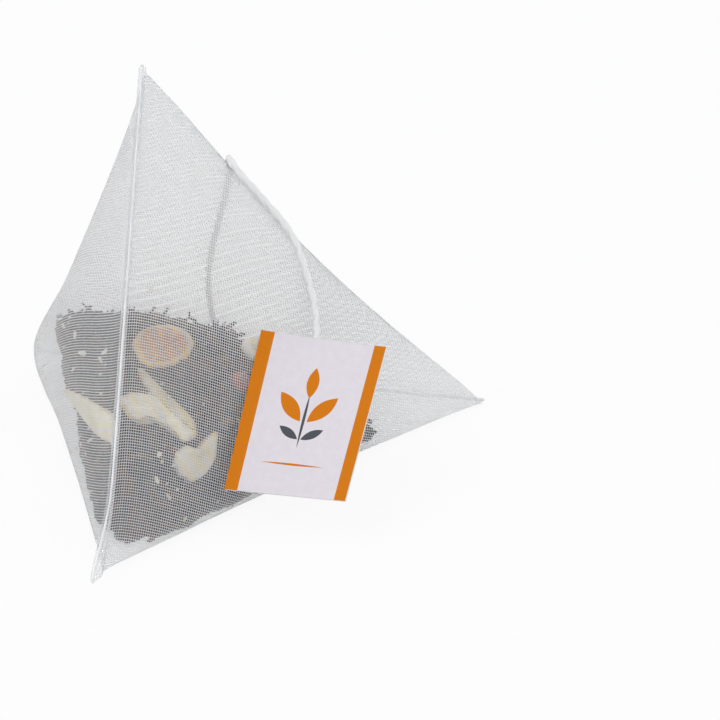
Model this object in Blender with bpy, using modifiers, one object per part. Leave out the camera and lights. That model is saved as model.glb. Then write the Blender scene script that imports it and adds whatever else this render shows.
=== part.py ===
"""Pyramid tea bag: a welded mesh pouch with loose leaf tea and dried fruit inside, a cotton string and a card tag.

Sizes are written in millimetres and turned into metres when an object is made. The back seal lies along X, the
front seal climbs from the tip on the floor to the apex, and the flat underside rests on the floor at Z = 0.
"""

import math
import random

import bmesh
import bpy
import numpy as np
from mathutils import Vector
from mathutils.bvhtree import BVHTree

# Sizes of the pouch, mm.
SEAL_LENGTH = 71.0
BASE_DEPTH = 67.5
APEX_HEIGHT = 60.5
APEX_SETBACK = 33.0
APEX_LEAN = 3.2
SEAL_BAND = 1.3
EAR_LENGTH = 2.2
WALL = 0.30

# Softness of the four folds and of the faces, mm.
FOLD_RADIUS_LEFT_TOP = 5.0
FOLD_RADIUS_RIGHT_TOP = 6.0
FOLD_RADIUS_LEFT_LOW = 3.0
FOLD_RADIUS_RIGHT_LOW = 4.5
FOLD_FADE = 0.6
FOLD_FADE_RIGHT_TOP = 1.6
BULGE_FRONT = 0.8
BULGE_LEFT = 2.2
BULGE_BACK = 2.6

# Openings of the mesh, mm.
GAP_SIZE = 2.6
GAP_SPACING = 4.6
GAP_LIMIT = 112

# Filling, mm.
FILL_HEIGHT = 9.6
FILL_RIGHT_END = 29.5
FILL_RIGHT_SLOPE = 9.0
LEAF_LAYER = 2.3
LEAF_WIDTH = 1.5
LEAF_THICKNESS = 1.1
CLEARANCE = 0.32
BED_LIFT = 0.30
LEAF_COUNT = 32
LEAF_LENGTH_LEAST = 7.0
LEAF_LENGTH_MOST = 13.0

# Dried fruit, mm.
FRUIT_THICKNESS = 1.1
ORANGE_WIDTH = 9.4
ORANGE_DEPTH = 8.4
STRIP_LENGTH = 17.0
STRIP_WIDTH = 1.7
STRIP_BEND = 1.3
BROAD_LENGTH = 15.0
BROAD_WIDTH = 4.6
ROUND_LENGTH = 6.6
ROUND_WIDTH = 5.4
BERRY_LENGTH = 4.4
BERRY_WIDTH = 3.2
CORNER_LENGTH = 8.0
CORNER_WIDTH = 6.2
SIDE_LENGTH = 12.0
SIDE_WIDTH = 5.0

# String and tag, mm.
STRING_DIAMETER = 1.05
TAG_WIDTH = 17.8
TAG_HEIGHT = 23.4
TAG_THICKNESS = 0.40
TAG_TILT_LEFT = 46.0
TAG_TILT_RIGHT = 52.0
TAG_TURN = -4.8
TAG_ROLL = 3.9
TAG_CENTRE_X = 20.0
TAG_DEPTH = 46.0
TAG_LIFT = 5.6
TAG_PUSH_TURN = 20.0
STRING_END_SHARE = 0.46

MM = 0.001
HALF = 0.5 * (2.0 * WALL)


def clear_scene():
    for thing in list(bpy.data.objects):
        bpy.data.objects.remove(thing, do_unlink=True)
    for group in list(bpy.data.collections):
        bpy.data.collections.remove(group)


def make_collection(name):
    group = bpy.data.collections.new(name)
    bpy.context.scene.collection.children.link(group)
    return group


clear_scene()
PARTS = make_collection("pyramid_tea_bag")
GUIDES = make_collection("guides")


def make_material(name, colour, roughness):
    material = bpy.data.materials.new(name)
    material.use_nodes = True
    shader = material.node_tree.nodes["Principled BSDF"]
    shader.inputs["Base Color"].default_value = (*colour, 1.0)
    shader.inputs["Roughness"].default_value = roughness
    return material


def unit(vector):
    return vector / np.linalg.norm(vector, axis=-1, keepdims=True)


# The two seals.
TIP_Y = -BASE_DEPTH
BAND_LOW = unit(np.array([-0.20, -0.98, -0.04]))
BAND_HIGH = unit(np.array([-0.22, -0.84, 0.50]))
EDGE_TOP = np.array([-APEX_LEAN + 0.84, -APEX_SETBACK - 0.32, APEX_HEIGHT - 0.1])
EDGE_KINK = np.array([0.3, TIP_Y + 7.1, 6.4])
EDGE_LOW = np.array([0.2, TIP_Y, HALF + 0.05])
ROOT_TOP = EDGE_TOP - SEAL_BAND * BAND_HIGH
ROOT_KINK = EDGE_KINK - SEAL_BAND * BAND_HIGH
ROOT_LOW = EDGE_LOW - EAR_LENGTH * BAND_LOW


def smooth_line(points, count=160, passes=240):
    """A dense, evened line through the points, rounded where they turn."""
    points = np.array(points)
    steps = np.r_[0.0, np.cumsum(np.linalg.norm(np.diff(points, axis=0), axis=1))]
    at = np.linspace(0.0, steps[-1], count)
    line = np.stack([np.interp(at, steps, points[:, c]) for c in range(3)], axis=1)
    for _ in range(passes):
        line[1:-1] = 0.25 * line[:-2] + 0.5 * line[1:-1] + 0.25 * line[2:]
    steps = np.r_[0.0, np.cumsum(np.linalg.norm(np.diff(line, axis=0), axis=1))]
    at = np.linspace(0.0, steps[-1], count)
    return np.stack([np.interp(at, steps, line[:, c]) for c in range(3)], axis=1)


FRONT_SEAL = smooth_line([ROOT_LOW, ROOT_KINK, ROOT_TOP])
FRONT_AT = np.linspace(-1.0, 1.0, len(FRONT_SEAL))


def front_seal(p):
    """Root of the front seal: p = -1 at the tip on the floor, +1 at the apex."""
    p = np.clip(p, -1.0, 1.0)
    return np.stack([np.interp(p, FRONT_AT, FRONT_SEAL[:, c]) for c in range(3)], axis=-1)


def front_out(p):
    """Where the front seal's band points, with its width in mm."""
    share = np.clip((p + 1.0) / 0.36, 0.0, 1.0)[..., None]
    share = share * share * (3.0 - 2.0 * share)
    width = EAR_LENGTH + (SEAL_BAND - EAR_LENGTH) * share
    return unit(BAND_LOW + (BAND_HIGH - BAND_LOW) * share) * width


def front_across(p):
    step = front_seal(np.minimum(p + 0.02, 1.0)) - front_seal(np.maximum(p - 0.02, -1.0))
    return unit(np.cross(front_out(p), step))


def back_seal(q):
    """Root of the back seal on the floor: q = -1 on the left, +1 on the right."""
    q = np.clip(q, -1.2, 1.2)
    bow = 0.8 * (1.0 - q * q)
    return np.stack([0.5 * SEAL_LENGTH * q, -SEAL_BAND - bow, HALF + 0.0 * q], axis=-1)


BACK_OUT = np.array([0.0, 1.0, 0.0])
BACK_ACROSS = np.array([0.0, 0.0, 1.0])

APEX = front_seal(np.array(1.0))
TIP = front_seal(np.array(-1.0))
LEFT = back_seal(np.array(-1.0))
RIGHT = back_seal(np.array(1.0))
OUT_FRONT = unit(np.cross(TIP - APEX, RIGHT - APEX))
OUT_LEFT = unit(np.cross(LEFT - APEX, TIP - APEX))
OUT_BACK = unit(np.cross(RIGHT - APEX, LEFT - APEX))

SIDE_POINTS = 5
ARC_POINTS = 4
AROUND = 4 * (SIDE_POINTS + ARC_POINTS)


def hump(t):
    return 4.0 * t * (1.0 - t)


def half_sizes(t):
    return (1.0 - t) * 0.5 * SEAL_LENGTH + t * HALF, t * 0.5 * SEAL_LENGTH + (1.0 - t) * HALF


def section_outline(t, inset, inset_low):
    """Rounded rectangle of one section: (a, b) points, a towards the apex and b towards the right corner."""
    size_a, size_b = half_sizes(t)
    low, high = -(size_a - inset_low), size_a - inset
    side = size_b - inset
    corners = (
        (low, side, FOLD_RADIUS_RIGHT_LOW, -90.0, FOLD_FADE),
        (high, side, FOLD_RADIUS_RIGHT_TOP, 0.0, FOLD_FADE_RIGHT_TOP),
        (high, -side, FOLD_RADIUS_LEFT_TOP, 90.0, FOLD_FADE),
        (low, -side, FOLD_RADIUS_LEFT_LOW, 180.0, FOLD_FADE),
    )
    arcs = []
    for a, b, radius, turn, fade in corners:
        share = hump(t) ** fade
        r = min(max(radius * share - min(inset, inset_low), 0.22), 0.96 * side, 0.48 * (high - low))
        middle = np.array([a - math.copysign(r, a), b - math.copysign(r, b)])
        for i in range(ARC_POINTS):
            angle = math.radians(turn + 90.0 * i / (ARC_POINTS - 1))
            arcs.append(middle + r * np.array([math.sin(angle), math.cos(angle)]))
    points = []
    for c in range(4):
        start = c * ARC_POINTS
        points += arcs[start:start + ARC_POINTS]
        end, after = arcs[start + ARC_POINTS - 1], arcs[(start + ARC_POINTS) % len(arcs)]
        for i in range(1, SIDE_POINTS + 1):
            points.append(end + (after - end) * i / (SIDE_POINTS + 1))
    return np.array(points)


def section(t, inset=0.0, inset_low=None, floor=0.0):
    """One ring of the pouch at t (0 = front seal, 1 = back seal), moved inwards by the insets."""
    inset_low = inset if inset_low is None else inset_low
    outline = section_outline(t, inset, inset_low)
    size_a, size_b = half_sizes(t)
    p, q = outline[:, 0] / size_a, outline[:, 1] / size_b
    ring = (1.0 - t) * front_seal(p) + t * back_seal(q)
    ring = ring + (p * t * HALF)[:, None] * BACK_ACROSS + (q * (1.0 - t) * HALF)[:, None] * front_across(p)
    swell = hump(t) * (1.0 - p * p)
    ring = ring + (swell * np.maximum(q, 0.0) * BULGE_FRONT)[:, None] * OUT_FRONT
    ring = ring + (swell * np.maximum(-q, 0.0) * BULGE_LEFT)[:, None] * OUT_LEFT
    ring = ring + (hump(t) * (1.0 - q * q) * np.maximum(p, 0.0) * BULGE_BACK)[:, None] * OUT_BACK
    ring[:, 2] -= 0.9 * np.maximum(-p, 0.0) * min(1.0, 1.5 * hump(t))
    ring[:, 2] = np.maximum(ring[:, 2], floor)
    return ring


def band(ring_t, share):
    """A ring of a seal band: the flat slot carried outwards from its root."""
    outline = section_outline(ring_t, 0.0, 0.0)
    size_a, size_b = half_sizes(ring_t)
    p, q = outline[:, 0] / size_a, outline[:, 1] / size_b
    ring = section(ring_t)
    if ring_t < 0.5:
        ring = ring + share * front_out(p)
    else:
        ring = ring + share * SEAL_BAND * BACK_OUT
    ring[:, 2] = np.maximum(ring[:, 2], 0.0)
    return ring


STATIONS = [0.0, 0.022, 0.06, 0.115, 0.175, 0.24, 0.31, 0.38, 0.45, 0.52, 0.59, 0.66, 0.73, 0.80, 0.865, 0.92,
            0.96, 0.985, 1.0]
INNER_FROM, INNER_TO = 1, len(STATIONS) - 2


def opposite(k, slot_along_a):
    """Ring point that faces point k across the slot of a seal."""
    per = SIDE_POINTS + ARC_POINTS
    if slot_along_a:
        return (2 * per - SIDE_POINTS - 1 - k + AROUND + 0) % AROUND
    return (per - SIDE_POINTS - 1 - k) % AROUND


def zip_faces(ring, flip, slot_along_a):
    """Faces that close a slot-shaped ring, each joining facing pairs of points."""
    faces, done = [], set()
    for k in range(AROUND):
        n = (k + 1) % AROUND
        ko, no = opposite(k, slot_along_a), opposite(n, slot_along_a)
        cell = []
        for v in (ring[k], ring[n], ring[no], ring[ko]):
            if v not in cell:
                cell.append(v)
        key = frozenset(cell)
        if len(cell) < 3 or key in done:
            continue
        done.add(key)
        faces.append(cell if not flip else cell[::-1])
    return faces


def mesh_object(name, verts, faces, collection, material=None):
    """A mesh object from millimetre points, its faces turned outwards."""
    mesh = bpy.data.meshes.new(name)
    mesh.from_pydata([tuple(MM * c for c in v) for v in verts], [], faces)
    work = bmesh.new()
    work.from_mesh(mesh)
    bmesh.ops.recalc_face_normals(work, faces=work.faces)
    if work.calc_volume(signed=True) < 0.0:
        bmesh.ops.reverse_faces(work, faces=work.faces)
    work.to_mesh(mesh)
    work.free()
    mesh.update()
    thing = bpy.data.objects.new(name, mesh)
    collection.objects.link(thing)
    if material is not None:
        mesh.materials.append(material)
    return thing


def loft(rings, first_along_a=True, last_along_a=False):
    """Points and quads of stacked rings, closed by zipping the two end slots."""
    verts, ids = [], []
    for ring in rings:
        ids.append(list(range(len(verts), len(verts) + AROUND)))
        verts += [tuple(v) for v in ring]
    faces = []
    for i in range(len(rings) - 1):
        for k in range(AROUND):
            n = (k + 1) % AROUND
            faces.append([ids[i][k], ids[i][n], ids[i + 1][n], ids[i + 1][k]])
    faces += zip_faces(ids[0], True, first_along_a)
    faces += zip_faces(ids[-1], False, last_along_a)
    return verts, faces, ids


def build_pouch():
    """Outer and inner skins of the folded mesh sheet, joined through the woven openings."""
    body = [section(t) for t in STATIONS]
    rings = [band(0.0, 1.0), band(0.0, 0.5)] + body + [band(1.0, 0.5), band(1.0, 1.0)]
    outer_v, outer_f, outer_ids = loft(rings)
    inset = WALL / 0.84
    inner_rings = [section(t, inset, inset, WALL) for t in STATIONS[INNER_FROM:INNER_TO + 1]]
    inner_v, inner_f, inner_ids = loft(inner_rings)
    shift = len(outer_v)
    verts = list(outer_v) + list(inner_v)

    cells = []
    per = SIDE_POINTS + ARC_POINTS
    for i in range(INNER_FROM + 1, INNER_TO - 1):
        for k in range(AROUND):
            if k // per == 3 or k % per < ARC_POINTS - 1:
                continue
            n = (k + 1) % AROUND
            outer = [outer_ids[i + 2][k], outer_ids[i + 2][n], outer_ids[i + 3][n], outer_ids[i + 3][k]]
            j = i - INNER_FROM
            inner = [shift + inner_ids[j][k], shift + inner_ids[j][n], shift + inner_ids[j + 1][n],
                     shift + inner_ids[j + 1][k]]
            corners = np.array([verts[v] for v in outer])
            wide = min(np.linalg.norm(corners[1] - corners[0]), np.linalg.norm(corners[2] - corners[3]))
            tall = min(np.linalg.norm(corners[3] - corners[0]), np.linalg.norm(corners[2] - corners[1]))
            if min(wide, tall) < GAP_SIZE * 0.72:
                continue
            middle = corners.mean(axis=0)
            if middle[2] < 1.5:
                continue
            cells.append((outer, inner, middle, wide, tall))
    order = sorted(range(len(cells)), key=lambda c: (-min(cells[c][3], cells[c][4], 3.2), c))
    chosen = []
    for c in order:
        middle = cells[c][2]
        if all(np.linalg.norm(middle - cells[o][2]) >= GAP_SPACING for o in chosen):
            chosen.append(c)
        if len(chosen) == GAP_LIMIT:
            break

    opened = set()
    bridges = []
    for c in chosen:
        outer, inner, middle, wide, tall = cells[c]
        share_wide = min(GAP_SIZE / wide, 0.70)
        share_tall = min(GAP_SIZE / tall, 0.70)
        loops = []
        for loop in (outer, inner):
            corners = np.array([verts[v] for v in loop])
            fresh = []
            for u, w in ((-1, -1), (1, -1), (1, 1), (-1, 1)):
                s, r = 0.5 + 0.5 * u * share_wide, 0.5 + 0.5 * w * share_tall
                point = ((1 - s) * (1 - r) * corners[0] + s * (1 - r) * corners[1]
                         + s * r * corners[2] + (1 - s) * r * corners[3])
                fresh.append(len(verts))
                verts.append(tuple(point))
            loops.append(fresh)
            opened.add(tuple(sorted(loop)))
            for e in range(4):
                g = (e + 1) % 4
                bridges.append([loop[e], loop[g], fresh[g], fresh[e]])
        for e in range(4):
            g = (e + 1) % 4
            bridges.append([loops[0][e], loops[0][g], loops[1][g], loops[1][e]])
    faces = [f for f in outer_f + [[v + shift for v in g] for g in inner_f] if tuple(sorted(f)) not in opened]
    faces += bridges
    return verts, faces, outer_v, outer_f


POUCH_VERTS, POUCH_FACES, SKIN_VERTS, SKIN_FACES = build_pouch()
LOW = np.array(POUCH_VERTS).min(axis=0)
HIGH = np.array(POUCH_VERTS).max(axis=0)
CENTRE = np.array([0.5 * (LOW[0] + HIGH[0]), 0.5 * (LOW[1] + HIGH[1]), 0.0])


def placed(points):
    """Points moved so that the middle of the pouch's footprint is the origin."""
    return np.asarray(points, dtype=float) - CENTRE


mesh_bag = mesh_object("mesh_bag", placed(POUCH_VERTS), POUCH_FACES, PARTS,
                       make_material("woven_mesh", (0.86, 0.86, 0.87), 0.55))


def tree_of(thing):
    """Search tree of an object as its modifiers leave it, in metres."""
    graph = bpy.context.evaluated_depsgraph_get()
    shaped = thing.evaluated_get(graph)
    mesh = shaped.to_mesh()
    tree = BVHTree.FromPolygons([v.co[:] for v in mesh.vertices], [tuple(p.vertices) for p in mesh.polygons])
    shaped.to_mesh_clear()
    return tree


def gap_to(tree, point):
    """Distance in mm from a millimetre point to the nearest surface of a tree."""
    found = tree.find_nearest(Vector([MM * c for c in point]))
    return 1000.0 * found[3]


# The packed tea.
def build_bed():
    inset = (LEAF_LAYER + WALL + CLEARANCE) / 0.84
    lift = WALL + BED_LIFT
    start = (inset + 1.2) / (0.5 * SEAL_LENGTH)
    stations = np.linspace(start, 1.0 - start, 13)
    rings = [section(t, inset, lift, lift) for t in stations]
    verts, faces, _ = loft(rings)
    bed = mesh_object("leaf_bed", placed(verts), faces, PARTS, make_material("packed_tea", (0.045, 0.035, 0.028), 0.9))
    rng = random.Random(11)
    count_x, count_y = 17, 15
    xs = np.linspace(-0.6 * SEAL_LENGTH, 0.6 * SEAL_LENGTH, count_x)
    ys = np.linspace(-0.6 * BASE_DEPTH, 0.6 * BASE_DEPTH, count_y)
    top = []
    for y in ys:
        for x in xs:
            level = min(1.0, max(0.08, (FILL_RIGHT_END - x) / FILL_RIGHT_SLOPE))
            top.append((x, y, FILL_HEIGHT * level - 0.5 * rng.random()))
    base = [(x, y, -4.0) for y in ys for x in xs]
    verts = top + base
    shift = len(top)
    faces = []
    for j in range(count_y - 1):
        for i in range(count_x - 1):
            a = j * count_x + i
            faces.append([a, a + 1, a + count_x + 1, a + count_x])
            faces.append([shift + a, shift + a + count_x, shift + a + count_x + 1, shift + a + 1])
    edge = list(range(count_x)) + [j * count_x + count_x - 1 for j in range(1, count_y)]
    edge += [(count_y - 1) * count_x + i for i in range(count_x - 2, -1, -1)]
    edge += [j * count_x for j in range(count_y - 2, 0, -1)]
    for i, a in enumerate(edge):
        b = edge[(i + 1) % len(edge)]
        faces.append([b, a, shift + a, shift + b])
    block = mesh_object("fill_block", verts, faces, GUIDES)
    block.hide_render = True
    block.display_type = "WIRE"
    cut = bed.modifiers.new("level", "BOOLEAN")
    cut.operation = "INTERSECT"
    cut.solver = "EXACT"
    cut.object = block
    return bed


leaf_bed = build_bed()
BAG_TREE = tree_of(mesh_bag)
BED_TREE = tree_of(leaf_bed)


# Loose pieces.
PLACED_POINTS = []


def far_from_others(points, radius, extra=0.0):
    """True when every point keeps the clearance from all pieces that are already in place."""
    for other, other_radius in PLACED_POINTS:
        reach = radius + other_radius + CLEARANCE + extra
        gaps = np.linalg.norm(points[:, None, :] - other[None, :, :], axis=2)
        if gaps.min() < reach:
            return False
    return True


def in_layer(points, radius):
    """True when the points clear the pouch wall and the packed tea."""
    for point in points:
        if gap_to(BAG_TREE, point) < radius + CLEARANCE or gap_to(BED_TREE, point) < radius + CLEARANCE:
            return False
    return True


SKIN_TREE = BVHTree.FromPolygons([tuple(MM * c for c in v) for v in placed(SKIN_VERTS)], SKIN_FACES)


def skin_side(point):
    """Sign of a millimetre point against the outer skin as its faces are wound."""
    point = Vector([MM * c for c in point])
    found = SKIN_TREE.find_nearest(point)
    return (point - found[0]).dot(found[1])


OUTSIDE_SIGN = -math.copysign(1.0, skin_side((0.0, 0.0, 0.15 * APEX_HEIGHT)))


def inside_pouch(point):
    """True for a millimetre point on the inner side of the outer skin."""
    return OUTSIDE_SIGN * skin_side(point) < 0.0


def slab(name, outline, centre, normal, turn, thickness, material):
    """A flat dried-fruit piece: an outline filled, thickened and softened at its edges.

    A strip's outline comes as pairs along its two sides and is filled crosswise, a round one from its middle."""
    normal = unit(np.array(normal, dtype=float))
    side = unit(np.cross([0.0, 0.0, 1.0], normal)) if abs(normal[2]) < 0.95 else np.array([1.0, 0.0, 0.0])
    ahead = np.cross(normal, side)
    c, s = math.cos(math.radians(turn)), math.sin(math.radians(turn))
    u, v = c * side + s * ahead, -s * side + c * ahead
    centre = placed(np.array(centre, dtype=float))
    points = [centre + x * u + y * v for x, y in outline]
    middle = centre.copy()
    count = len(points)
    if "strip" in name:
        faces = [[i, i + 1, count - 2 - i, count - 1 - i] for i in range(count // 2 - 1)]
    else:
        points.append(middle)
        faces = [[count, i, (i + 1) % count] for i in range(count)]
    piece = mesh_object(name, points, faces, PARTS, material)
    thick = piece.modifiers.new("thickness", "SOLIDIFY")
    thick.thickness = thickness * MM
    thick.offset = 0.0
    soft = piece.modifiers.new("soft_edge", "BEVEL")
    soft.width = 0.22 * MM
    soft.segments = 1
    soft.angle_limit = math.radians(50.0)
    outline = np.array(outline)
    fill = [centre]
    for ring in (0.35, 0.7, 1.0):
        for i in range(count):
            a, b = outline[i], outline[(i + 1) % count]
            for share in (0.0, 0.5):
                x, y = ring * (a + share * (b - a))
                fill.append(centre + x * u + y * v)
    PLACED_POINTS.append((np.array(fill), 0.5 * thickness))
    return np.array(fill)


def blob(width, height, count, seed, rough=0.12):
    rng = random.Random(seed)
    points = []
    for i in range(count):
        angle = 2.0 * math.pi * i / count
        r = 1.0 + rough * (2.0 * rng.random() - 1.0)
        points.append((0.5 * width * r * math.cos(angle), 0.5 * height * r * math.sin(angle)))
    return points


def strip(length, width, bend, count=6):
    """Outline of a thin bent strip."""
    upper, lower = [], []
    for i in range(count):
        s = i / (count - 1)
        x = length * (s - 0.5)
        y = bend * (1.0 - (2.0 * s - 1.0) ** 2)
        w = 0.5 * width * (0.6 + 0.4 * math.sin(math.pi * s))
        upper.append((x, y + w))
        lower.append((x, y - w))
    return lower + upper[::-1]


TOP_Z = FILL_HEIGHT + CLEARANCE + 0.62
UP = (0.0, 0.0, 1.0)


def on_heap(share_x, share_y, rise=0.0):
    """A place on the heap, by shares of the back seal's length and of the footprint's depth."""
    return share_x * SEAL_LENGTH, -share_y * BASE_DEPTH, TOP_Z + rise


ORANGE_TILT = 22.0
ORANGE_LEAN = (0.12, -math.sin(math.radians(ORANGE_TILT)), math.cos(math.radians(ORANGE_TILT)))
ORANGE_RISE = 0.5 * ORANGE_DEPTH * math.sin(math.radians(ORANGE_TILT)) - 0.1
FRUIT = [
    ("orange_slice", blob(ORANGE_WIDTH, ORANGE_DEPTH, 14, 3, 0.04), on_heap(-0.127, 0.222, ORANGE_RISE), ORANGE_LEAN,
     10.0, (0.80, 0.42, 0.20)),
    ("peel_strip_long", strip(STRIP_LENGTH, STRIP_WIDTH, STRIP_BEND), on_heap(-0.048, 0.425), UP,
     -44.0, (0.80, 0.70, 0.50)),
    ("apple_piece_broad", blob(BROAD_LENGTH, BROAD_WIDTH, 12, 5, 0.10), on_heap(-0.036, 0.558), UP,
     -34.0, (0.82, 0.76, 0.60)),
    ("apple_piece_round", blob(ROUND_LENGTH, ROUND_WIDTH, 9, 8, 0.12), on_heap(0.065, 0.186), UP,
     10.0, (0.84, 0.76, 0.55)),
    ("berry_flake_a", blob(BERRY_LENGTH, BERRY_WIDTH, 8, 21, 0.16), on_heap(0.113, 0.437), UP,
     60.0, (0.62, 0.33, 0.30)),
    ("berry_flake_b", blob(BERRY_LENGTH, BERRY_WIDTH, 8, 23, 0.16), on_heap(0.260, 0.190), UP,
     15.0, (0.80, 0.72, 0.56)),
]
for name, outline, centre, normal, turn, colour in FRUIT:
    points = slab(name, outline, centre, normal, turn, FRUIT_THICKNESS, make_material(name, colour, 0.7))
    print(name, "wall", round(min(gap_to(BAG_TREE, p) for p in points) - 0.5 * FRUIT_THICKNESS, 2),
          "bed", round(min(gap_to(BED_TREE, p) for p in points) - 0.5 * FRUIT_THICKNESS, 2))


def wall_frame(t, k, inset):
    """Point and outward direction on the pouch moved inwards, at section t and ring place k."""
    def at(tt, kk):
        ring = section(tt, inset, inset, 0.0)
        low = int(math.floor(kk)) % AROUND
        share = kk - math.floor(kk)
        return (1.0 - share) * ring[low] + share * ring[(low + 1) % AROUND]
    point = at(t, k)
    along = at(min(t + 0.01, 0.99), k) - at(max(t - 0.01, 0.01), k)
    across = at(t, k + 0.5) - at(t, k - 0.5)
    return point, unit(np.cross(across, along))


LAYER_MIDDLE = (WALL + CLEARANCE + 0.5 * LEAF_LAYER) / 0.84


def wall_slab(name, outline, t, k, turn, colour):
    point, normal = wall_frame(t, k, LAYER_MIDDLE)
    points = slab(name, outline, point, normal, turn, FRUIT_THICKNESS, make_material(name, colour, 0.7))
    print(name, np.round(point, 1), "wall", round(min(gap_to(BAG_TREE, p) for p in points) - 0.5 * FRUIT_THICKNESS, 2),
          "bed", round(min(gap_to(BED_TREE, p) for p in points) - 0.5 * FRUIT_THICKNESS, 2))


# Tea leaves.
section_cache = {}


def wall_point(t, k, inset):
    key = (round(t, 4), inset)
    if key not in section_cache:
        section_cache[key] = section(key[0], inset, inset, 0.0)
    ring = section_cache[key]
    low = int(math.floor(k)) % AROUND
    share = k - math.floor(k)
    return (1.0 - share) * ring[low] + share * ring[(low + 1) % AROUND]


def leaf_profile():
    """Small six-sided oval that all leaves are swept from."""
    curve = bpy.data.curves.new("leaf_profile", "CURVE")
    curve.dimensions = "2D"
    line = curve.splines.new("POLY")
    line.points.add(5)
    for i in range(6):
        angle = -math.pi * i / 3.0
        x = 0.5 * LEAF_WIDTH * math.cos(angle) * MM
        y = 0.5 * LEAF_THICKNESS * math.sin(angle) * MM
        line.points[i].co = (x, y, 0.0, 1.0)
    line.use_cyclic_u = True
    thing = bpy.data.objects.new("leaf_profile", curve)
    GUIDES.objects.link(thing)
    thing.hide_render = True
    thing.display_type = "WIRE"
    return thing


PROFILE = leaf_profile()


def make_leaf(name, path, twist, colour):
    curve = bpy.data.curves.new(name, "CURVE")
    curve.dimensions = "3D"
    curve.bevel_mode = "OBJECT"
    curve.bevel_object = PROFILE
    curve.use_fill_caps = True
    line = curve.splines.new("POLY")
    line.points.add(len(path) - 1)
    for i, point in enumerate(path):
        s = i / (len(path) - 1)
        line.points[i].co = (*[MM * c for c in point], 1.0)
        line.points[i].radius = 0.45 + 0.55 * math.sin(math.pi * min(1.0, 0.12 + 0.82 * s))
        line.points[i].tilt = twist * s
    thing = bpy.data.objects.new(name, curve)
    PARTS.objects.link(thing)
    curve.materials.append(make_material(name, colour, 0.8))
    return thing


LEAF_POINTS = 7


def leaf_path_top(rng, length):
    """A gently bent path of that length lying on the heap."""
    x = (rng.random() - 0.5) * 0.86 * SEAL_LENGTH
    y = -BASE_DEPTH * (0.04 + 0.78 * rng.random())
    heading = rng.random() * 2.0 * math.pi
    bend = (rng.random() - 0.5) * 1.6
    path = [np.array([x, y, FILL_HEIGHT + CLEARANCE + 0.5 * LEAF_WIDTH])]
    step = length / (LEAF_POINTS - 1)
    for i in range(LEAF_POINTS - 1):
        heading += bend / LEAF_POINTS
        path.append(path[-1] + step * np.array([math.cos(heading), math.sin(heading), 0.0]))
    return placed(np.array(path))


def leaf_path_wall(rng, length):
    """A path of that length in the layer between the wall and the packed tea."""
    t = 0.12 + 0.76 * rng.random()
    per = SIDE_POINTS + ARC_POINTS
    rise = (0.2 + 4.2 * rng.random()) * (0.5 + t)
    front = rng.random() < 0.6
    k = 1.6 + rise if front else 3 * per + 1.4 - rise
    heading = rng.random() * 2.0 * math.pi
    reach = 1.0
    for _ in range(3):
        path = []
        for i in range(LEAF_POINTS):
            s = reach * (i / (LEAF_POINTS - 1) - 0.5)
            tt = min(max(t + 0.20 * math.cos(heading) * s, 0.06), 0.94)
            path.append(wall_point(tt, k + 1.6 * math.sin(heading) * s, LAYER_MIDDLE))
        path = np.array(path)
        reach *= length / max(np.linalg.norm(np.diff(path, axis=0), axis=1).sum(), 0.1)
    return placed(path)


def between(path, extra=4):
    """The path with more points between its own."""
    out = []
    for a, b in zip(path[:-1], path[1:]):
        for i in range(extra):
            out.append(a + (b - a) * i / extra)
    out.append(path[-1])
    return np.array(out)


WALL_FRUIT = [
    ("apple_piece_corner", blob(CORNER_LENGTH, CORNER_WIDTH, 9, 31, 0.14), 0.30, 4.4, 35.0, (0.84, 0.79, 0.62)),
    ("apple_piece_side", blob(SIDE_LENGTH, SIDE_WIDTH, 10, 33, 0.12), 0.44, 26.0, 20.0, (0.78, 0.72, 0.58)),
]
for item in WALL_FRUIT:
    wall_slab(*item)


def leaf_fits(path, length, radius):
    """True when a leaf along the path is whole, clear of its neighbours, seated and inside the pouch."""
    run = np.linalg.norm(np.diff(path, axis=0), axis=1).sum()
    if abs(run - length) > 0.15 * length:
        return False
    if path[:, 2].min() < WALL + CLEARANCE + radius or path[:, 2].max() > FILL_HEIGHT + 2.0 * LEAF_WIDTH:
        return False
    dense = between(path)
    if not far_from_others(dense, radius) or not in_layer(dense[::2], radius):
        return False
    middle = dense[len(dense) // 2]
    if not (inside_pouch(dense[0]) and inside_pouch(middle) and inside_pouch(dense[-1])):
        return False
    return min(gap_to(BAG_TREE, middle), gap_to(BED_TREE, middle)) - radius < 0.85


TEA_COLOURS = ((0.060, 0.048, 0.036), (0.090, 0.066, 0.046), (0.040, 0.034, 0.030), (0.11, 0.085, 0.055))
for leaf in range(1, LEAF_COUNT + 1):
    rng = random.Random(70 + leaf)
    share = rng.random()
    length = LEAF_LENGTH_LEAST + share * (LEAF_LENGTH_MOST - LEAF_LENGTH_LEAST)
    twist = (1.4 + 2.0 * rng.random()) * rng.choice((-1, 1))
    on_top = leaf % 2 == 0
    for tries in range(2400):
        shorter = LEAF_LENGTH_LEAST if tries > 700 else length
        path = leaf_path_top(rng, shorter) if on_top else leaf_path_wall(rng, shorter)
        if leaf_fits(path, shorter, 0.5 * LEAF_WIDTH):
            make_leaf("tea_leaf_%02d" % leaf, path, twist, TEA_COLOURS[leaf % 4])
            PLACED_POINTS.append((between(path), 0.5 * LEAF_WIDTH))
            break
    else:
        print("no room for leaf", leaf)


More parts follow.
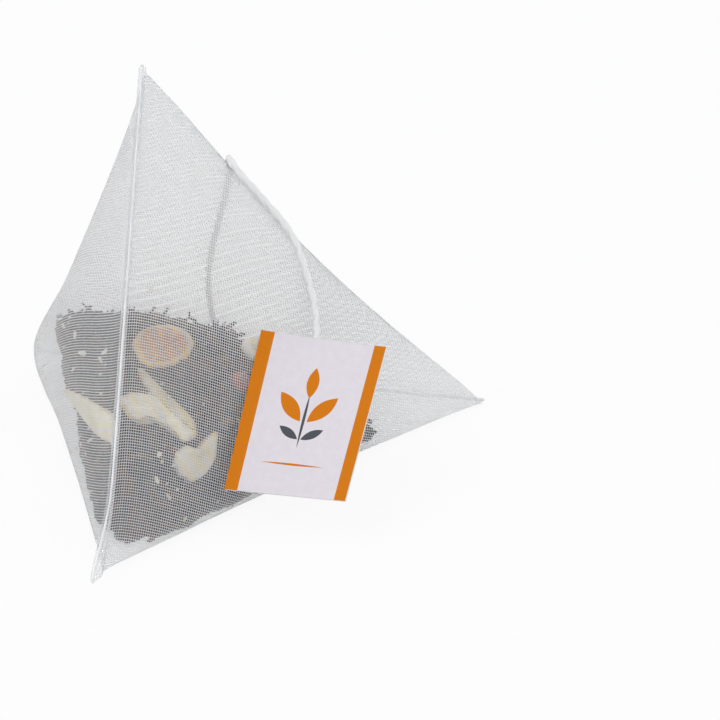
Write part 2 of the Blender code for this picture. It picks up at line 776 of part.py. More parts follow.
# Tag.
def tag_frame(push):
    """Lower middle, direction across, and the directions up of the card's left and right edges."""
    turn, roll = math.radians(TAG_TURN), math.radians(TAG_ROLL)
    level = np.array([math.cos(turn), math.sin(turn), 0.0])
    back = np.array([-level[1], level[0], 0.0])
    across = math.cos(roll) * level + math.sin(roll) * np.array([0.0, 0.0, 1.0])
    rises = []
    for tilt in (math.radians(TAG_TILT_LEFT), math.radians(TAG_TILT_RIGHT)):
        rise = math.cos(tilt) * np.array([0.0, 0.0, 1.0]) + math.sin(tilt) * back
        rises.append(unit(rise - (rise @ across) * across))
    ahead = math.radians(TAG_PUSH_TURN)
    lower = np.array([TAG_CENTRE_X, -TAG_DEPTH, TAG_LIFT + 0.5 * TAG_WIDTH * math.sin(roll)])
    lower = lower + push * np.array([math.sin(ahead), -math.cos(ahead), 0.0])
    return lower, across, rises[0], rises[1]


def tag_point(push, u, v):
    """A point of the card's middle layer: u across from the left edge, v up from the lower edge."""
    lower, across, rise_left, rise_right = tag_frame(push)
    rise = (1.0 - u) * rise_left + u * rise_right
    facing = np.cross(across, rise)
    curl = 0.4 * (2.0 * u - 1.0) ** 2 * v
    return lower + (u - 0.5) * TAG_WIDTH * across + v * TAG_HEIGHT * rise + curl * facing


def tag_points(push, columns=9, rows=7):
    points = [tag_point(push, i / (columns - 1), j / (rows - 1)) for j in range(rows) for i in range(columns)]
    return placed(np.array(points))


def string_behind(push, share):
    """Centre of the string where it lies against the back of the card, at a share of the card's height."""
    across, rise_left, rise_right = tag_frame(push)[1:]
    facing = unit(np.cross(across, rise_left + rise_right))
    behind = 0.5 * TAG_THICKNESS + 0.5 * STRING_DIAMETER + CLEARANCE + 0.1
    return tag_point(push, STRING_END_SHARE, share) - behind * facing


low_push, high_push = -12.0, 25.0
for _ in range(24):
    push = 0.5 * (low_push + high_push)
    clear = min(gap_to(BAG_TREE, p) for p in between(tag_points(push), 3))
    ends = placed(np.array([string_behind(push, share) for share in (0.86, 0.93, 1.0)]))
    outside = not any(inside_pouch(p) for p in tag_points(push)) and not any(inside_pouch(p) for p in ends)
    room = min(gap_to(BAG_TREE, p) for p in ends) > 0.5 * STRING_DIAMETER + CLEARANCE
    if clear > 0.5 * TAG_THICKNESS + CLEARANCE and outside and room:
        high_push = push
    else:
        low_push = push
TAG_PUSH = high_push
print("tag pushed", round(TAG_PUSH, 2))


def build_tag():
    columns = 9
    rows = 7
    points = tag_points(TAG_PUSH, columns, rows)
    faces = []
    for j in range(rows - 1):
        for i in range(columns - 1):
            a = j * columns + i
            faces.append([a, a + 1, a + columns + 1, a + columns])
    card = mesh_object("tag", points, faces, PARTS, make_material("tag_card", (0.78, 0.76, 0.80), 0.6))
    thick = card.modifiers.new("thickness", "SOLIDIFY")
    thick.thickness = TAG_THICKNESS * MM
    thick.offset = 0.0
    return card


tag = build_tag()


# String.
def resample(points, spacing):
    steps = np.r_[0.0, np.cumsum(np.linalg.norm(np.diff(points, axis=0), axis=1))]
    at = np.linspace(0.0, steps[-1], int(round(steps[-1] / spacing)) + 1)
    return np.stack([np.interp(at, steps, points[:, c]) for c in range(3)], axis=1)


def build_string():
    """The string from the back seal, up the back face, over the right fold and down to the card's back."""
    radius = 0.5 * STRING_DIAMETER
    reach = radius + CLEARANCE
    end = string_behind(TAG_PUSH, 0.86)
    edge = string_behind(TAG_PUSH, 1.0)
    fold = RIGHT - APEX
    route = [
        np.array([-2.0, -1.6, 2.0 * WALL + reach + 0.1]),
        np.array([-3.4, -0.6, 2.6]),
        np.array([-5.4, -1.8, 10.0]),
        np.array([-4.0, -8.0, 21.0]),
        np.array([1.5, -15.5, 34.0]),
        APEX + 0.235 * fold + 2.6 * OUT_BACK + 0.8 * OUT_FRONT,
        APEX + 0.310 * fold + 1.4 * OUT_BACK + 1.6 * OUT_FRONT,
        APEX + 0.370 * fold + 0.3 * OUT_BACK + 2.2 * OUT_FRONT,
        0.86 * (APEX + 0.39 * fold) + 0.14 * edge + 2.0 * OUT_FRONT,
        0.50 * (APEX + 0.39 * fold) + 0.50 * edge + 1.6 * OUT_FRONT,
        string_behind(TAG_PUSH, 1.16),
        edge,
        end,
    ]
    line = smooth_line(route, 220, 160)
    line[0], line[-1] = route[0], route[-1]
    line = placed(line)
    passes = 4
    for turn in range(passes):
        for i in range(len(line)):
            found = SKIN_TREE.find_nearest(Vector([MM * c for c in line[i]]))
            near = np.array(found[0]) / MM
            away = line[i] - near
            gap = np.linalg.norm(away)
            inner = inside_pouch(line[i])
            if i < 2 or np.linalg.norm(line[i] - line[-1]) < 0.28 * TAG_HEIGHT:
                continue
            want = reach + 0.10
            if gap < want or inner:
                away = -away if inner else away
                line[i] = near + away / max(gap, 1e-6) * want
            elif 0.06 * len(line) < i < 0.72 * len(line):
                line[i] = near + away / gap * want
        if turn == passes - 1:
            break
        line[2:-2] = 0.25 * line[1:-3] + 0.5 * line[2:-2] + 0.25 * line[3:-1]
    path = resample(line, 2.5 * STRING_DIAMETER)
    curve = bpy.data.curves.new("string", "CURVE")
    curve.dimensions = "3D"
    curve.bevel_depth = radius * MM
    curve.bevel_resolution = 2
    curve.use_fill_caps = True
    spline = curve.splines.new("POLY")
    spline.points.add(len(path) - 1)
    for i, point in enumerate(path):
        spline.points[i].co = (*[MM * c for c in point], 1.0)
    thing = bpy.data.objects.new("string", curve)
    PARTS.objects.link(thing)
    curve.materials.append(make_material("cotton_thread", (0.88, 0.88, 0.88), 0.8))
    dense = between(path)
    print("string length", round(np.linalg.norm(np.diff(path, axis=0), axis=1).sum(), 1), "points", len(path),
          "least gap to pouch", round(min(gap_to(BAG_TREE, p) for p in dense) - radius, 2),
          "inside", sum(inside_pouch(p) for p in dense), "start", np.round(path[0], 1), "end", np.round(path[-1], 1))
    return thing


build_string()
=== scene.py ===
# %% [markdown]
# # A pyramid tea bag, woven thread by thread
#
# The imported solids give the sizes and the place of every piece. This file dresses them: the pouch is woven from
# thin nylon threads, the tea is laid leaf by leaf, and the string and the card tag get their own surfaces.
# Points are millimetres in the numpy code, and `make_piece` turns them into Blender's metres.

import bmesh
import bpy
import numpy as np
from mathutils import Matrix, Vector
from mathutils.bvhtree import BVHTree


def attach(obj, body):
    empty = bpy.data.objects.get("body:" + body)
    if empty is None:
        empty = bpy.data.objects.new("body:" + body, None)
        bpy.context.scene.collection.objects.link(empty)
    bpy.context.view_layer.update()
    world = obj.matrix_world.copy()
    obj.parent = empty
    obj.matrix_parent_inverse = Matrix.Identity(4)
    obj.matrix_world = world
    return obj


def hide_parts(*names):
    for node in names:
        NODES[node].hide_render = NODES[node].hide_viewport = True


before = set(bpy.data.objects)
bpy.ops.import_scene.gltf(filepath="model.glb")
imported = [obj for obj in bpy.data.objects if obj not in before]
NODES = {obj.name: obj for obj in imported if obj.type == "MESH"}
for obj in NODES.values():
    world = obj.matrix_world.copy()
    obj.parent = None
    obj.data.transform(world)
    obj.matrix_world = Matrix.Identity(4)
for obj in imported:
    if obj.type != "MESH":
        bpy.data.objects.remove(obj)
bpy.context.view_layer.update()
SCENE = bpy.context.scene
MM = 0.001
FULL_TURN = 6.28


def add_object(name, data):
    thing = bpy.data.objects.new(name, data)
    SCENE.collection.objects.link(thing)
    return thing


print("nodes", len(NODES))

# %% [markdown]
# ## Camera
# A long lens close to the table looks down at 24 degrees, so one face, the tag and the front seal all show.

# %%
CAMERA_PLACE = (0.14787, -0.37061, 0.19947)
CAMERA_AHEAD = (-0.28121, 0.86437, -0.41688)
CAMERA_ROLL = -1.55

camera_data = bpy.data.cameras.new("camera")
camera_data.lens = 157.56
camera_data.sensor_width = 36.0
camera_data.clip_start = 0.02
camera_data.clip_end = 20.0
camera = add_object("camera", camera_data)
turn = Vector(CAMERA_AHEAD).normalized().to_track_quat("-Z", "Y").to_matrix().to_4x4()
roll = Matrix.Rotation(np.radians(CAMERA_ROLL), 4, "Z")
camera.matrix_world = Matrix.Translation(Vector(CAMERA_PLACE)) @ turn @ roll
SCENE.camera = camera
SCENE.view_settings.view_transform = "Standard"
print("camera at", CAMERA_PLACE)

# %% [markdown]
# ## The string comes first
# Two cotton plies wind around the route that the solid string takes, from the weld on the back seal, up the back
# face, over the right fold and down behind the card. Both are closed tubes, built as one grid of rings each.

# %%
STRING_ROUTE = np.array([
    (-2.0, 32.2, 1.5), (-3.2, 32.4, 3.9), (-4.1, 31.5, 5.9), (-4.6, 30.2, 7.7), (-4.9, 29.2, 10.2),
    (-4.8, 28.3, 12.7), (-4.6, 27.3, 15.1), (-4.3, 26.3, 17.6), (-3.8, 25.2, 20.0), (-3.1, 24.2, 22.4),
    (-2.3, 23.2, 24.7), (-1.4, 22.1, 27.0), (-0.5, 21.0, 29.2), (0.4, 19.9, 31.4), (1.3, 18.7, 33.6),
    (2.3, 17.5, 35.8), (3.2, 16.2, 37.8), (4.0, 14.8, 39.9), (4.8, 13.0, 42.0), (5.5, 10.8, 44.0),
    (6.2, 8.9, 45.1), (7.0, 8.0, 44.5), (8.2, 8.6, 42.4), (9.1, 9.4, 40.9), (9.9, 10.2, 39.4),
    (10.7, 10.9, 37.9), (11.5, 11.5, 36.6), (12.3, 12.0, 35.3), (13.1, 12.4, 34.0), (13.9, 12.5, 32.6),
    (14.7, 12.3, 31.3), (15.3, 11.9, 29.9), (15.8, 11.6, 28.3), (16.3, 11.3, 26.7), (16.9, 11.0, 25.0),
    (17.5, 10.4, 23.2), (18.2, 8.9, 21.6), (19.2, 5.8, 20.0), (20.0, 3.4, 19.0), (20.5, 1.8, 18.5)])
STRING_DIAMETER = 1.05
STRING_POINTS = 430
PLY_RADIUS = 0.36
PLY_TURN = 2.6
PLY_SIDES = 10
PLY_UNEVEN = 0.018
LUMP_EVERY = 12


def unit(vectors):
    return vectors / np.maximum(np.linalg.norm(vectors, axis=-1, keepdims=True), 1e-12)


def run_along(points):
    """Length from the first point to each, mm."""
    return np.r_[0.0, np.cumsum(np.linalg.norm(np.diff(points, axis=0), axis=1))]


def read_at(at, run, points):
    """Places on a line at the lengths `at`, where `run` gives the length at each of its points."""
    return np.stack([np.interp(at, run, points[:, c]) for c in range(3)], axis=-1)


def resample(points, count):
    run = run_along(points)
    return read_at(np.linspace(0.0, run[-1], count), run, points)


def softened(points, passes):
    """The line with its corners eased and its ends kept."""
    line = points.copy()
    for _ in range(passes):
        line[1:-1] = 0.25 * line[:-2] + 0.5 * line[1:-1] + 0.25 * line[2:]
    return line


def make_piece(name, verts, quads, triangles=None, smooth=True):
    """A closed mesh object from millimetre points and index arrays, its faces turned outwards."""
    verts = np.asarray(verts, dtype=np.float32).reshape(-1, 3)
    quads = np.asarray(quads, dtype=np.int32).reshape(-1, 4)
    triangles = np.zeros((0, 3), np.int32) if triangles is None else np.asarray(triangles, np.int32).reshape(-1, 3)
    halves = np.concatenate([quads[:, [0, 1, 2]], quads[:, [0, 2, 3]], triangles])
    a, b, c = (verts[halves[:, i]].astype(float) for i in range(3))
    if (a * np.cross(b, c)).sum() < 0.0:
        quads, triangles = quads[:, ::-1], triangles[:, ::-1]
    mesh = bpy.data.meshes.new(name)
    mesh.vertices.add(len(verts))
    mesh.vertices.foreach_set("co", (verts * MM).ravel())
    corners = np.concatenate([quads.ravel(), triangles.ravel()])
    sizes = np.r_[np.full(len(quads), 4), np.full(len(triangles), 3)]
    starts = np.r_[0, np.cumsum(sizes)[:-1]]
    mesh.loops.add(len(corners))
    mesh.loops.foreach_set("vertex_index", corners)
    mesh.polygons.add(len(sizes))
    mesh.polygons.foreach_set("loop_start", starts.astype(np.int32))
    mesh.polygons.foreach_set("use_smooth", np.full(len(sizes), smooth))
    mesh.update(calc_edges=True)
    mesh.validate()
    return add_object(name, mesh)


def set_values(piece, name, values, domain="POINT"):
    """A named value on each point or face, for the materials to read."""
    layer = piece.data.attributes.new(name, "FLOAT", domain)
    layer.data.foreach_set("value", values.astype(np.float32))


def tubes(centres, side, normal, radii, sides):
    """Closed tubes along many lines at once.

    centres, side and normal are (lines, points, 3), radii (lines, points) or (lines, points, 2) for an oval."""
    lines, points = centres.shape[:2]
    radii = np.broadcast_to(np.asarray(radii, float)[..., None] if np.ndim(radii) < 3 else radii,
                            (lines, points, 2))
    angle = np.pi / 2 - 2.0 * np.pi * np.arange(sides) / sides
    around = (np.cos(angle)[None, None, :, None] * (side * radii[..., :1])[:, :, None, :]
              + np.sin(angle)[None, None, :, None] * (normal * radii[..., 1:])[:, :, None, :])
    verts = centres[:, :, None, :] + around
    ids = np.arange(lines * points * sides).reshape(lines, points, sides)
    after = np.roll(ids, -1, axis=2)
    quads = np.stack([ids[:, :-1], after[:, :-1], after[:, 1:], ids[:, 1:]], axis=-1).reshape(-1, 4)
    fan = np.array([(0, k, k + 1) for k in range(1, sides - 1)])
    first = ids[:, 0][:, fan].reshape(-1, 3)[:, ::-1]
    last = ids[:, -1][:, fan].reshape(-1, 3)
    return verts.reshape(-1, 3), quads, np.concatenate([first, last])


def frame_along(line):
    """Steps, and two directions square to them that turn as little as they can."""
    step = unit(np.gradient(line, axis=0))
    across = [unit(np.cross(step[0], np.array([0.3, 1.0, 0.2])))]
    for i in range(1, len(line)):
        across.append(unit(across[-1] - step[i] * (across[-1] @ step[i])))
    across = np.array(across)
    return step, across, np.cross(step, across)


string_line = resample(softened(resample(STRING_ROUTE, 400), 60), STRING_POINTS)
step, across, rise = frame_along(string_line)
wind = 2.0 * np.pi * run_along(string_line) / (2.0 * PLY_TURN)
rng = np.random.default_rng(4)
lump_at = np.arange(0, STRING_POINTS, LUMP_EVERY)
ply_lines, ply_radii = [], []
for start in (0.0, np.pi):
    angle = wind + start
    outward = np.cos(angle)[:, None] * across + np.sin(angle)[:, None] * rise
    uneven = np.interp(np.arange(STRING_POINTS), lump_at, rng.normal(0.0, PLY_UNEVEN, len(lump_at)))
    ply_lines.append(string_line + (0.5 * STRING_DIAMETER - PLY_RADIUS) * outward)
    ply_radii.append(PLY_RADIUS + uneven)
verts, quads, caps = tubes(np.array(ply_lines), np.array([across] * 2), np.array([rise] * 2),
                           np.array(ply_radii), PLY_SIDES)
string_look = make_piece("string_look", verts, quads, caps)

# %% [markdown]
# ## The shape of the pouch
# A tube of mesh is welded flat at the front from apex to tip, and welded flat again at the back from left to right.
# Every section between the two welds is a rounded rectangle that turns from upright to level.

# %%
SEAL_LENGTH = 71.0
SEAL_BAND = 1.3
EAR_LENGTH = 2.0
FIN_WIDTH = 0.40
FOLDS = ((-1, 1, 4.5, -90.0, 0.6), (1, 1, 6.0, 0.0, 1.6), (1, -1, 5.0, 90.0, 0.6), (-1, -1, 3.0, 180.0, 0.6))
BULGE_FRONT, BULGE_LEFT, BULGE_BACK = 0.8, 2.2, 2.6
CORNER_RUN = 0.40
SLOT = 0.30
CLOTH_DEPTH = 0.16
CENTRE = np.array([0.0, -33.759, 0.0])
ARC, SIDE = 14, 40
AROUND = 4 * (ARC + SIDE)
MIDDLE = ARC + SIDE // 2


def smooth_line(points, count=160, passes=240):
    line = softened(resample(np.array(points), count), passes)
    return resample(line, count)


FRONT_SEAL = smooth_line([(0.60, -65.55, 0.42), (0.35, -60.06, 6.25), (-2.31, -32.98, 60.23)])
FRONT_AT = np.linspace(-1.0, 1.0, len(FRONT_SEAL))


def front_seal(p):
    """Root of the front seal, p from -1 at the tip to +1 at the apex."""
    return read_at(p, FRONT_AT, FRONT_SEAL)


def front_out(p):
    """Where the front seal's band points, as long as it is wide."""
    share = np.clip((p + 1.0) / 0.36, 0.0, 1.0)[..., None]
    share = share * share * (3.0 - 2.0 * share)
    low, high = unit(np.array([-0.20, -0.98, -0.04])), unit(np.array([-0.12, -0.85, 0.49]))
    return unit(low + (high - low) * share) * (EAR_LENGTH + (FIN_WIDTH - EAR_LENGTH) * share)


def back_seal(q):
    """Root of the back seal on the floor, q from -1 on the left to +1 on the right."""
    return np.stack([0.5 * SEAL_LENGTH * q, -SEAL_BAND - 0.8 * (1.0 - q * q), SLOT + 0.0 * q], axis=-1)


APEX, TIP = front_seal(1.0), front_seal(-1.0)
LEFT, RIGHT = back_seal(np.array(-1.0)), back_seal(np.array(1.0))
OUT_FRONT = unit(np.cross(TIP - APEX, RIGHT - APEX))
OUT_LEFT = unit(np.cross(LEFT - APEX, TIP - APEX))
OUT_BACK = unit(np.cross(RIGHT - APEX, LEFT - APEX))


def outlines(t):
    """Rounded rectangles of the sections at t, as shares of the half sizes and the places between the welds."""
    size_a = ((1.0 - t) * 0.5 * SEAL_LENGTH + t * SLOT)[:, None]
    size_b = (t * 0.5 * SEAL_LENGTH + (1.0 - t) * SLOT)[:, None]
    hump = (4.0 * t * (1.0 - t))[:, None]
    arcs = []
    for side_a, side_b, radius, turn, fade in FOLDS:
        r = np.minimum(np.maximum(radius * hump ** fade, 0.22), 0.96 * np.minimum(size_a, size_b))
        angle = np.radians(turn + np.linspace(0.0, 90.0, ARC))
        arcs.append(np.stack([side_a * (size_a - r) + r * np.sin(angle),
                              side_b * (size_b - r) + r * np.cos(angle)], axis=-1))
    share = (np.arange(1, SIDE + 1) / (SIDE + 1))[None, :, None]
    ring = []
    for c in range(4):
        end, after = arcs[c][:, -1:], arcs[(c + 1) % 4][:, :1]
        ring += [arcs[c], end + (after - end) * share]
    ring = np.concatenate(ring, axis=1)
    return ring[..., 0] / size_a, ring[..., 1] / size_b


def sections(t):
    """Rings of the pouch's outer skin at t (0 at the front weld, 1 at the back weld), and their p and q."""
    p, q = outlines(t)
    t = t[:, None, None]
    step = front_seal(np.minimum(p + 0.02, 1.0)) - front_seal(np.maximum(p - 0.02, -1.0))
    across = unit(np.cross(front_out(p), step))
    p3, q3 = p[..., None], q[..., None]
    hump = 4.0 * t * (1.0 - t)
    ring = (1.0 - t) * front_seal(p) + t * back_seal(q)
    ring = ring + p3 * t * SLOT * np.array([0.0, 0.0, 1.0]) + q3 * (1.0 - t) * SLOT * across
    swell = hump * (1.0 - p3 * p3)
    ring = ring + swell * np.maximum(q3, 0.0) * BULGE_FRONT * OUT_FRONT
    ring = ring + swell * np.maximum(-q3, 0.0) * BULGE_LEFT * OUT_LEFT
    ring = ring + hump * (1.0 - q3 * q3) * np.maximum(p3, 0.0) * BULGE_BACK * OUT_BACK
    corner = np.clip((1.0 - t[..., 0]) / CORNER_RUN, 0.0, 1.0)
    fullness = 6.75 * corner * (1.0 - corner) ** 2
    ring[..., 0] -= fullness * np.maximum(-q, 0.0) ** 2 * (0.95 + 0.25 * p)
    ring[..., 2] -= 0.9 * np.maximum(-p, 0.0) * np.minimum(1.0, 1.5 * hump[..., 0])
    ring[..., 2] = np.maximum(ring[..., 2], 0.0)
    return ring, p, q


def by_girth(rings, shares):
    """Points of each ring at shares of its girth, 0 in the middle of the front face."""
    rings = np.concatenate([rings, rings[:, :1]], axis=1)
    out = np.zeros((len(rings), len(shares), 3))
    for i, ring in enumerate(rings):
        run = run_along(ring)
        at = (run[MIDDLE] + shares * run[-1]) % run[-1]
        out[i] = read_at(at, run, ring)
    return out


coarse_t = np.linspace(0.0, 1.0, 161)
coarse_rings = sections(coarse_t)[0]
coarse_grid = by_girth(coarse_rings, np.arange(64) / 64.0)
tube_run = np.r_[0.0, np.cumsum(np.linalg.norm(np.diff(coarse_grid, axis=0), axis=2).mean(axis=1))]
girth = run_along(np.concatenate([coarse_rings[80], coarse_rings[80][:1]]))[-1]
print("tube", round(tube_run[-1], 1), "mm long,", round(girth, 1), "mm around")

# %% [markdown]
# ## Weave
# Warp threads run from weld to weld and weft threads run round the tube. Where they cross, one is up and the other is
# down, turn about. The cloth is one sheet in the hand; here it is made as four quarters of the tube.

# %%
PITCH = 0.375
THREAD_HALF_WIDTH = 0.080
THREAD_HALF_HEIGHT = 0.011
THREAD_SIDES = 3
QUARTERS = 4

body_rows = int(round(tube_run[-1] / PITCH))
body_t = np.interp((np.arange(body_rows) + 0.5) * tube_run[-1] / body_rows, tube_run, coarse_t)
band_rows = 3
band_share = (np.arange(band_rows) + 0.5) / band_rows
body_rings = sections(body_t)[0]
front_ring, front_p, _ = sections(np.array([0.0]))
back_ring = sections(np.array([1.0]))[0]
front_band = front_ring + band_share[::-1, None, None] * front_out(front_p)
back_band = back_ring + band_share[:, None, None] * np.array([0.0, SEAL_BAND, 0.0])
rings = np.concatenate([front_band, body_rings, back_band])
per_quarter = int(round(girth / PITCH / QUARTERS / 2.0)) * 2
warp_count = per_quarter * QUARTERS
grid = by_girth(rings, np.arange(warp_count) / warp_count)
around_step = np.roll(grid, -1, axis=1) - np.roll(grid, 1, axis=1)
along_step = np.gradient(grid, axis=0)
grid_normal = unit(np.cross(around_step, along_step))
centre = np.array([0.0, -30.0, 15.0])
if ((grid - centre) * grid_normal).sum() < 0.0:
    grid_normal = -grid_normal
for _ in range(2):
    grid_normal = unit(grid_normal + 0.5 * (np.roll(grid_normal, 1, axis=1) + np.roll(grid_normal, -1, axis=1)))
grid = grid - CLOTH_DEPTH * grid_normal - CENTRE
grid[..., 2] = np.maximum(grid[..., 2], 0.08)
rows = len(grid)
parity = np.where((np.arange(rows)[:, None] + np.arange(warp_count)[None, :]) % 2 == 0, 1.0, -1.0)[..., None]
rng = np.random.default_rng(9)
lift = THREAD_HALF_HEIGHT * (1.0 + 0.10 * rng.standard_normal((rows, warp_count, 1))) * parity
warp_points = grid + lift * grid_normal
weft_points = grid - lift * grid_normal
weave_pieces = []


def thread_size(rng, lines, points):
    """Half width and half height of flat threads, a little different from thread to thread."""
    size = np.array([THREAD_HALF_WIDTH, THREAD_HALF_HEIGHT]) * (1.0 + 0.05 * rng.standard_normal((lines, 1, 1)))
    return np.broadcast_to(size, (lines, points, 2))


for quarter in range(QUARTERS):
    chosen = (np.arange(per_quarter + 1) + quarter * per_quarter) % warp_count
    warp_at = chosen[:-1]
    side = unit(around_step[:, warp_at]).transpose(1, 0, 2)
    normal = grid_normal[:, warp_at].transpose(1, 0, 2)
    wide = thread_size(rng, len(warp_at), rows)
    verts, quads, caps = tubes(warp_points[:, warp_at].transpose(1, 0, 2), side, normal, wide, THREAD_SIDES)
    side = unit(along_step[:, chosen])
    wide = thread_size(rng, rows, len(chosen))
    more_verts, more_quads, more_caps = tubes(
        weft_points[:, chosen], -side, grid_normal[:, chosen], wide, THREAD_SIDES)
    shift = len(verts)
    piece = make_piece("mesh_weave_%d" % (quarter + 1), np.concatenate([verts, more_verts]),
                       np.concatenate([quads, more_quads + shift]), np.concatenate([caps, more_caps + shift]),
                       smooth=False)
    weave_pieces.append(piece)
area = sum(face.area for face in weave_pieces[0].data.polygons) * 1e6
flat_area = girth / QUARTERS * (tube_run[-1] + 2.0 * SEAL_BAND)
print("share of the flat sheet", round(area / (2.0 * flat_area), 3))
print("weave", rows, "by", warp_count, "threads,", sum(2 * len(p.data.polygons) for p in weave_pieces), "triangles")

# %% [markdown]
# ## Fused edges of the welds
# Each weld ends in a thin bead where the blade has melted the threads together.

# %%
EDGE_POINTS = 360
EDGE_SIDES = 8


def ribbon(name, centres, out, up, half_width, half_height):
    """A closed flat tube along a line."""
    radii = np.stack([half_width, half_height], axis=-1)[None]
    verts, quads, caps = tubes(centres[None], out[None], up[None], radii, EDGE_SIDES)
    return make_piece(name, verts, quads, caps)


rng = np.random.default_rng(12)


def wobble(every, size):
    """Smooth unevenness along an edge."""
    knots = rng.normal(0.0, size, EDGE_POINTS // every + 3)
    return np.interp(np.arange(EDGE_POINTS) / every, np.arange(len(knots)), knots)


edge_run = np.linspace(-1.0, 1.0, EDGE_POINTS)
band = front_out(edge_run)
front_edge = front_seal(edge_run) + band - CENTRE
front_edge[:, 2] = np.maximum(front_edge[:, 2], 0.24)
step = unit(np.gradient(front_edge, axis=0))
out = unit(band - step * (band * step).sum(axis=1, keepdims=True))
front_bead = ribbon("front_weld_edge", front_edge - 0.21 * out, out, np.cross(step, out),
                    0.23 + wobble(6, 0.02), 0.11 + wobble(9, 0.015))
back_edge = back_seal(edge_run) + np.array([0.0, SEAL_BAND, 0.0]) - CENTRE
back_edge[:, 2] = 0.26
step = unit(np.gradient(back_edge, axis=0))
out = np.array([0.0, 1.0, 0.0]) + 0.0 * step
back_bead = ribbon("back_weld_edge", back_edge - 0.18 * out, out, np.cross(step, out),
                   0.20 + wobble(6, 0.03), 0.14 + wobble(9, 0.015))
print("weld edges", len(front_bead.data.polygons) + len(back_bead.data.polygons), "faces")

# %% [markdown]
# ## Inside of the pouch
# Leaves and fruit are kept inside by the nearest place on the skin.

# %%
first_p = outlines(np.array([0.0]))[0]
last_q = outlines(np.array([1.0]))[1]
closed_rings = np.concatenate([front_seal(first_p), coarse_rings, back_seal(last_q)]) - CENTRE
cells = np.arange(closed_rings.size // 3).reshape(-1, AROUND)
after = np.roll(cells, -1, axis=1)
skin_faces = np.stack([cells[:-1], after[:-1], after[1:], cells[1:]], axis=-1).reshape(-1, 4)
skin = BVHTree.FromPolygons([Vector(v) for v in closed_rings.reshape(-1, 3)], skin_faces.tolist())
heart = Vector((0.0, 0.0, 9.0))
near, normal = skin.find_nearest(heart)[:2]
INWARD = 1.0 if (heart - near).dot(normal) > 0.0 else -1.0
SIDE_BULGE = 3.0


def kept_inside(points, depth, hug=None):
    """The points moved so that each is at least `depth` mm inside the skin, or exactly `hug` mm inside it."""
    out = points.copy()
    for i, point in enumerate(points):
        near, normal = skin.find_nearest(Vector(point))[:2]
        inward = np.array(normal) * INWARD
        reach = (point - np.array(near)) @ inward
        if hug is not None:
            out[i] = np.array(near) + hug * inward
        elif reach < depth:
            out[i] = np.array(near) + depth * inward
    return out


def depth_of(point):
    """Distance to the skin in mm, negative outside. The three flat sides settle the places near the welds."""
    near, normal, _, gap = skin.find_nearest(Vector(point))
    beyond = max((np.array(point) + CENTRE - APEX) @ out for out in (OUT_FRONT, OUT_LEFT, OUT_BACK))
    inside = (Vector(point) - near).dot(normal) * INWARD > 0.0 and beyond < SIDE_BULGE and point[2] > 0.0
    return gap if inside else -gap


# %% [markdown]
# ## Dried fruit
# Each piece is a round grid drawn out to its outline, cupped and wrinkled, with two sides and a rim. The outlines are
# points in the bag, in millimetres.

# %%
ROUND = 72
RINGS = 9


def closed_loop(points, count, passes):
    """Evenly spaced points on the closed line through the given ones, with eased corners."""
    points = np.array(points, float)
    points = np.concatenate([points, points[:1]])
    run = run_along(points)
    loop = read_at(np.arange(count) * run[-1] / count, run, points)
    for _ in range(passes):
        loop = 0.25 * np.roll(loop, 1, axis=0) + 0.5 * loop + 0.25 * np.roll(loop, -1, axis=0)
    return loop


def chip(name, outline, thickness, cup, wrinkle, torn, seed):
    """A closed dried piece inside an outline, `cup` mm deep in the middle, its edge torn by the share `torn`."""
    rng = np.random.default_rng(seed)
    loop = closed_loop(outline, ROUND, 3)
    centre = loop.mean(axis=0)
    w = np.linalg.svd(loop - centre, full_matrices=False)[2][2]
    w = w if w[2] > 0.0 else -w
    angle = 2.0 * np.pi * np.arange(ROUND) / ROUND

    def ripple(k):
        return rng.normal(0.0, 1.0) * np.cos(k * angle + rng.uniform(0.0, FULL_TURN))

    edge = sum(ripple(k) for k in (5, 8, 13, 19)) / 2.0
    wave = sum(ripple(k) / k for k in (2, 3, 5, 7))
    arm = (loop - centre) * (1.0 + torn * edge)[:, None]
    share = np.linspace(0.0, 1.0, RINGS)[1:]
    verts = []
    for side in (1.0, -1.0):
        half = 0.5 * thickness * np.sqrt(np.clip(1.0 - share ** 8, 0.0, 1.0))
        for ring, s in enumerate(share):
            last = ring == len(share) - 1
            if last and side < 0.0:
                continue
            middle = cup * s * s + wrinkle * wave * s ** 1.5
            height = middle if last else middle + side * half[ring] * (1.0 + 0.12 * rng.standard_normal(ROUND))
            verts.append(centre + s * arm + height[:, None] * w)
    top = [k * ROUND + np.arange(ROUND) for k in range(RINGS - 1)]
    under = [(RINGS - 1 + k) * ROUND + np.arange(ROUND) for k in range(RINGS - 2)] + [top[-1]]
    verts = np.concatenate(verts)
    tip = len(verts)
    verts = np.concatenate([verts, [centre + 0.5 * thickness * w, centre - 0.5 * thickness * w]])
    quads, triangles = [], []
    for side, layers in ((0, top), (1, under)):
        for a, b in zip(layers[:-1], layers[1:]):
            cell = np.stack([a, b, np.roll(b, -1), np.roll(a, -1)], axis=1)
            quads.append(cell if side == 0 else cell[:, ::-1])
        cell = np.stack([np.full(ROUND, tip + side), layers[0], np.roll(layers[0], -1)], axis=1)
        triangles.append(cell if side == 0 else cell[:, ::-1])
    piece = make_piece(name, verts, np.concatenate(quads), np.concatenate(triangles))
    shares = [np.repeat(share, ROUND), np.repeat(share[:-1], ROUND), [0.0, 0.0]]
    turns = [np.tile(np.arange(ROUND) / ROUND, 2 * RINGS - 3), [0.0, 0.0]]
    set_values(piece, "rim", np.concatenate(shares))
    set_values(piece, "spoke", np.concatenate(turns))
    return piece


def level(points, high):
    return [(x, y, high) for x, y in points]


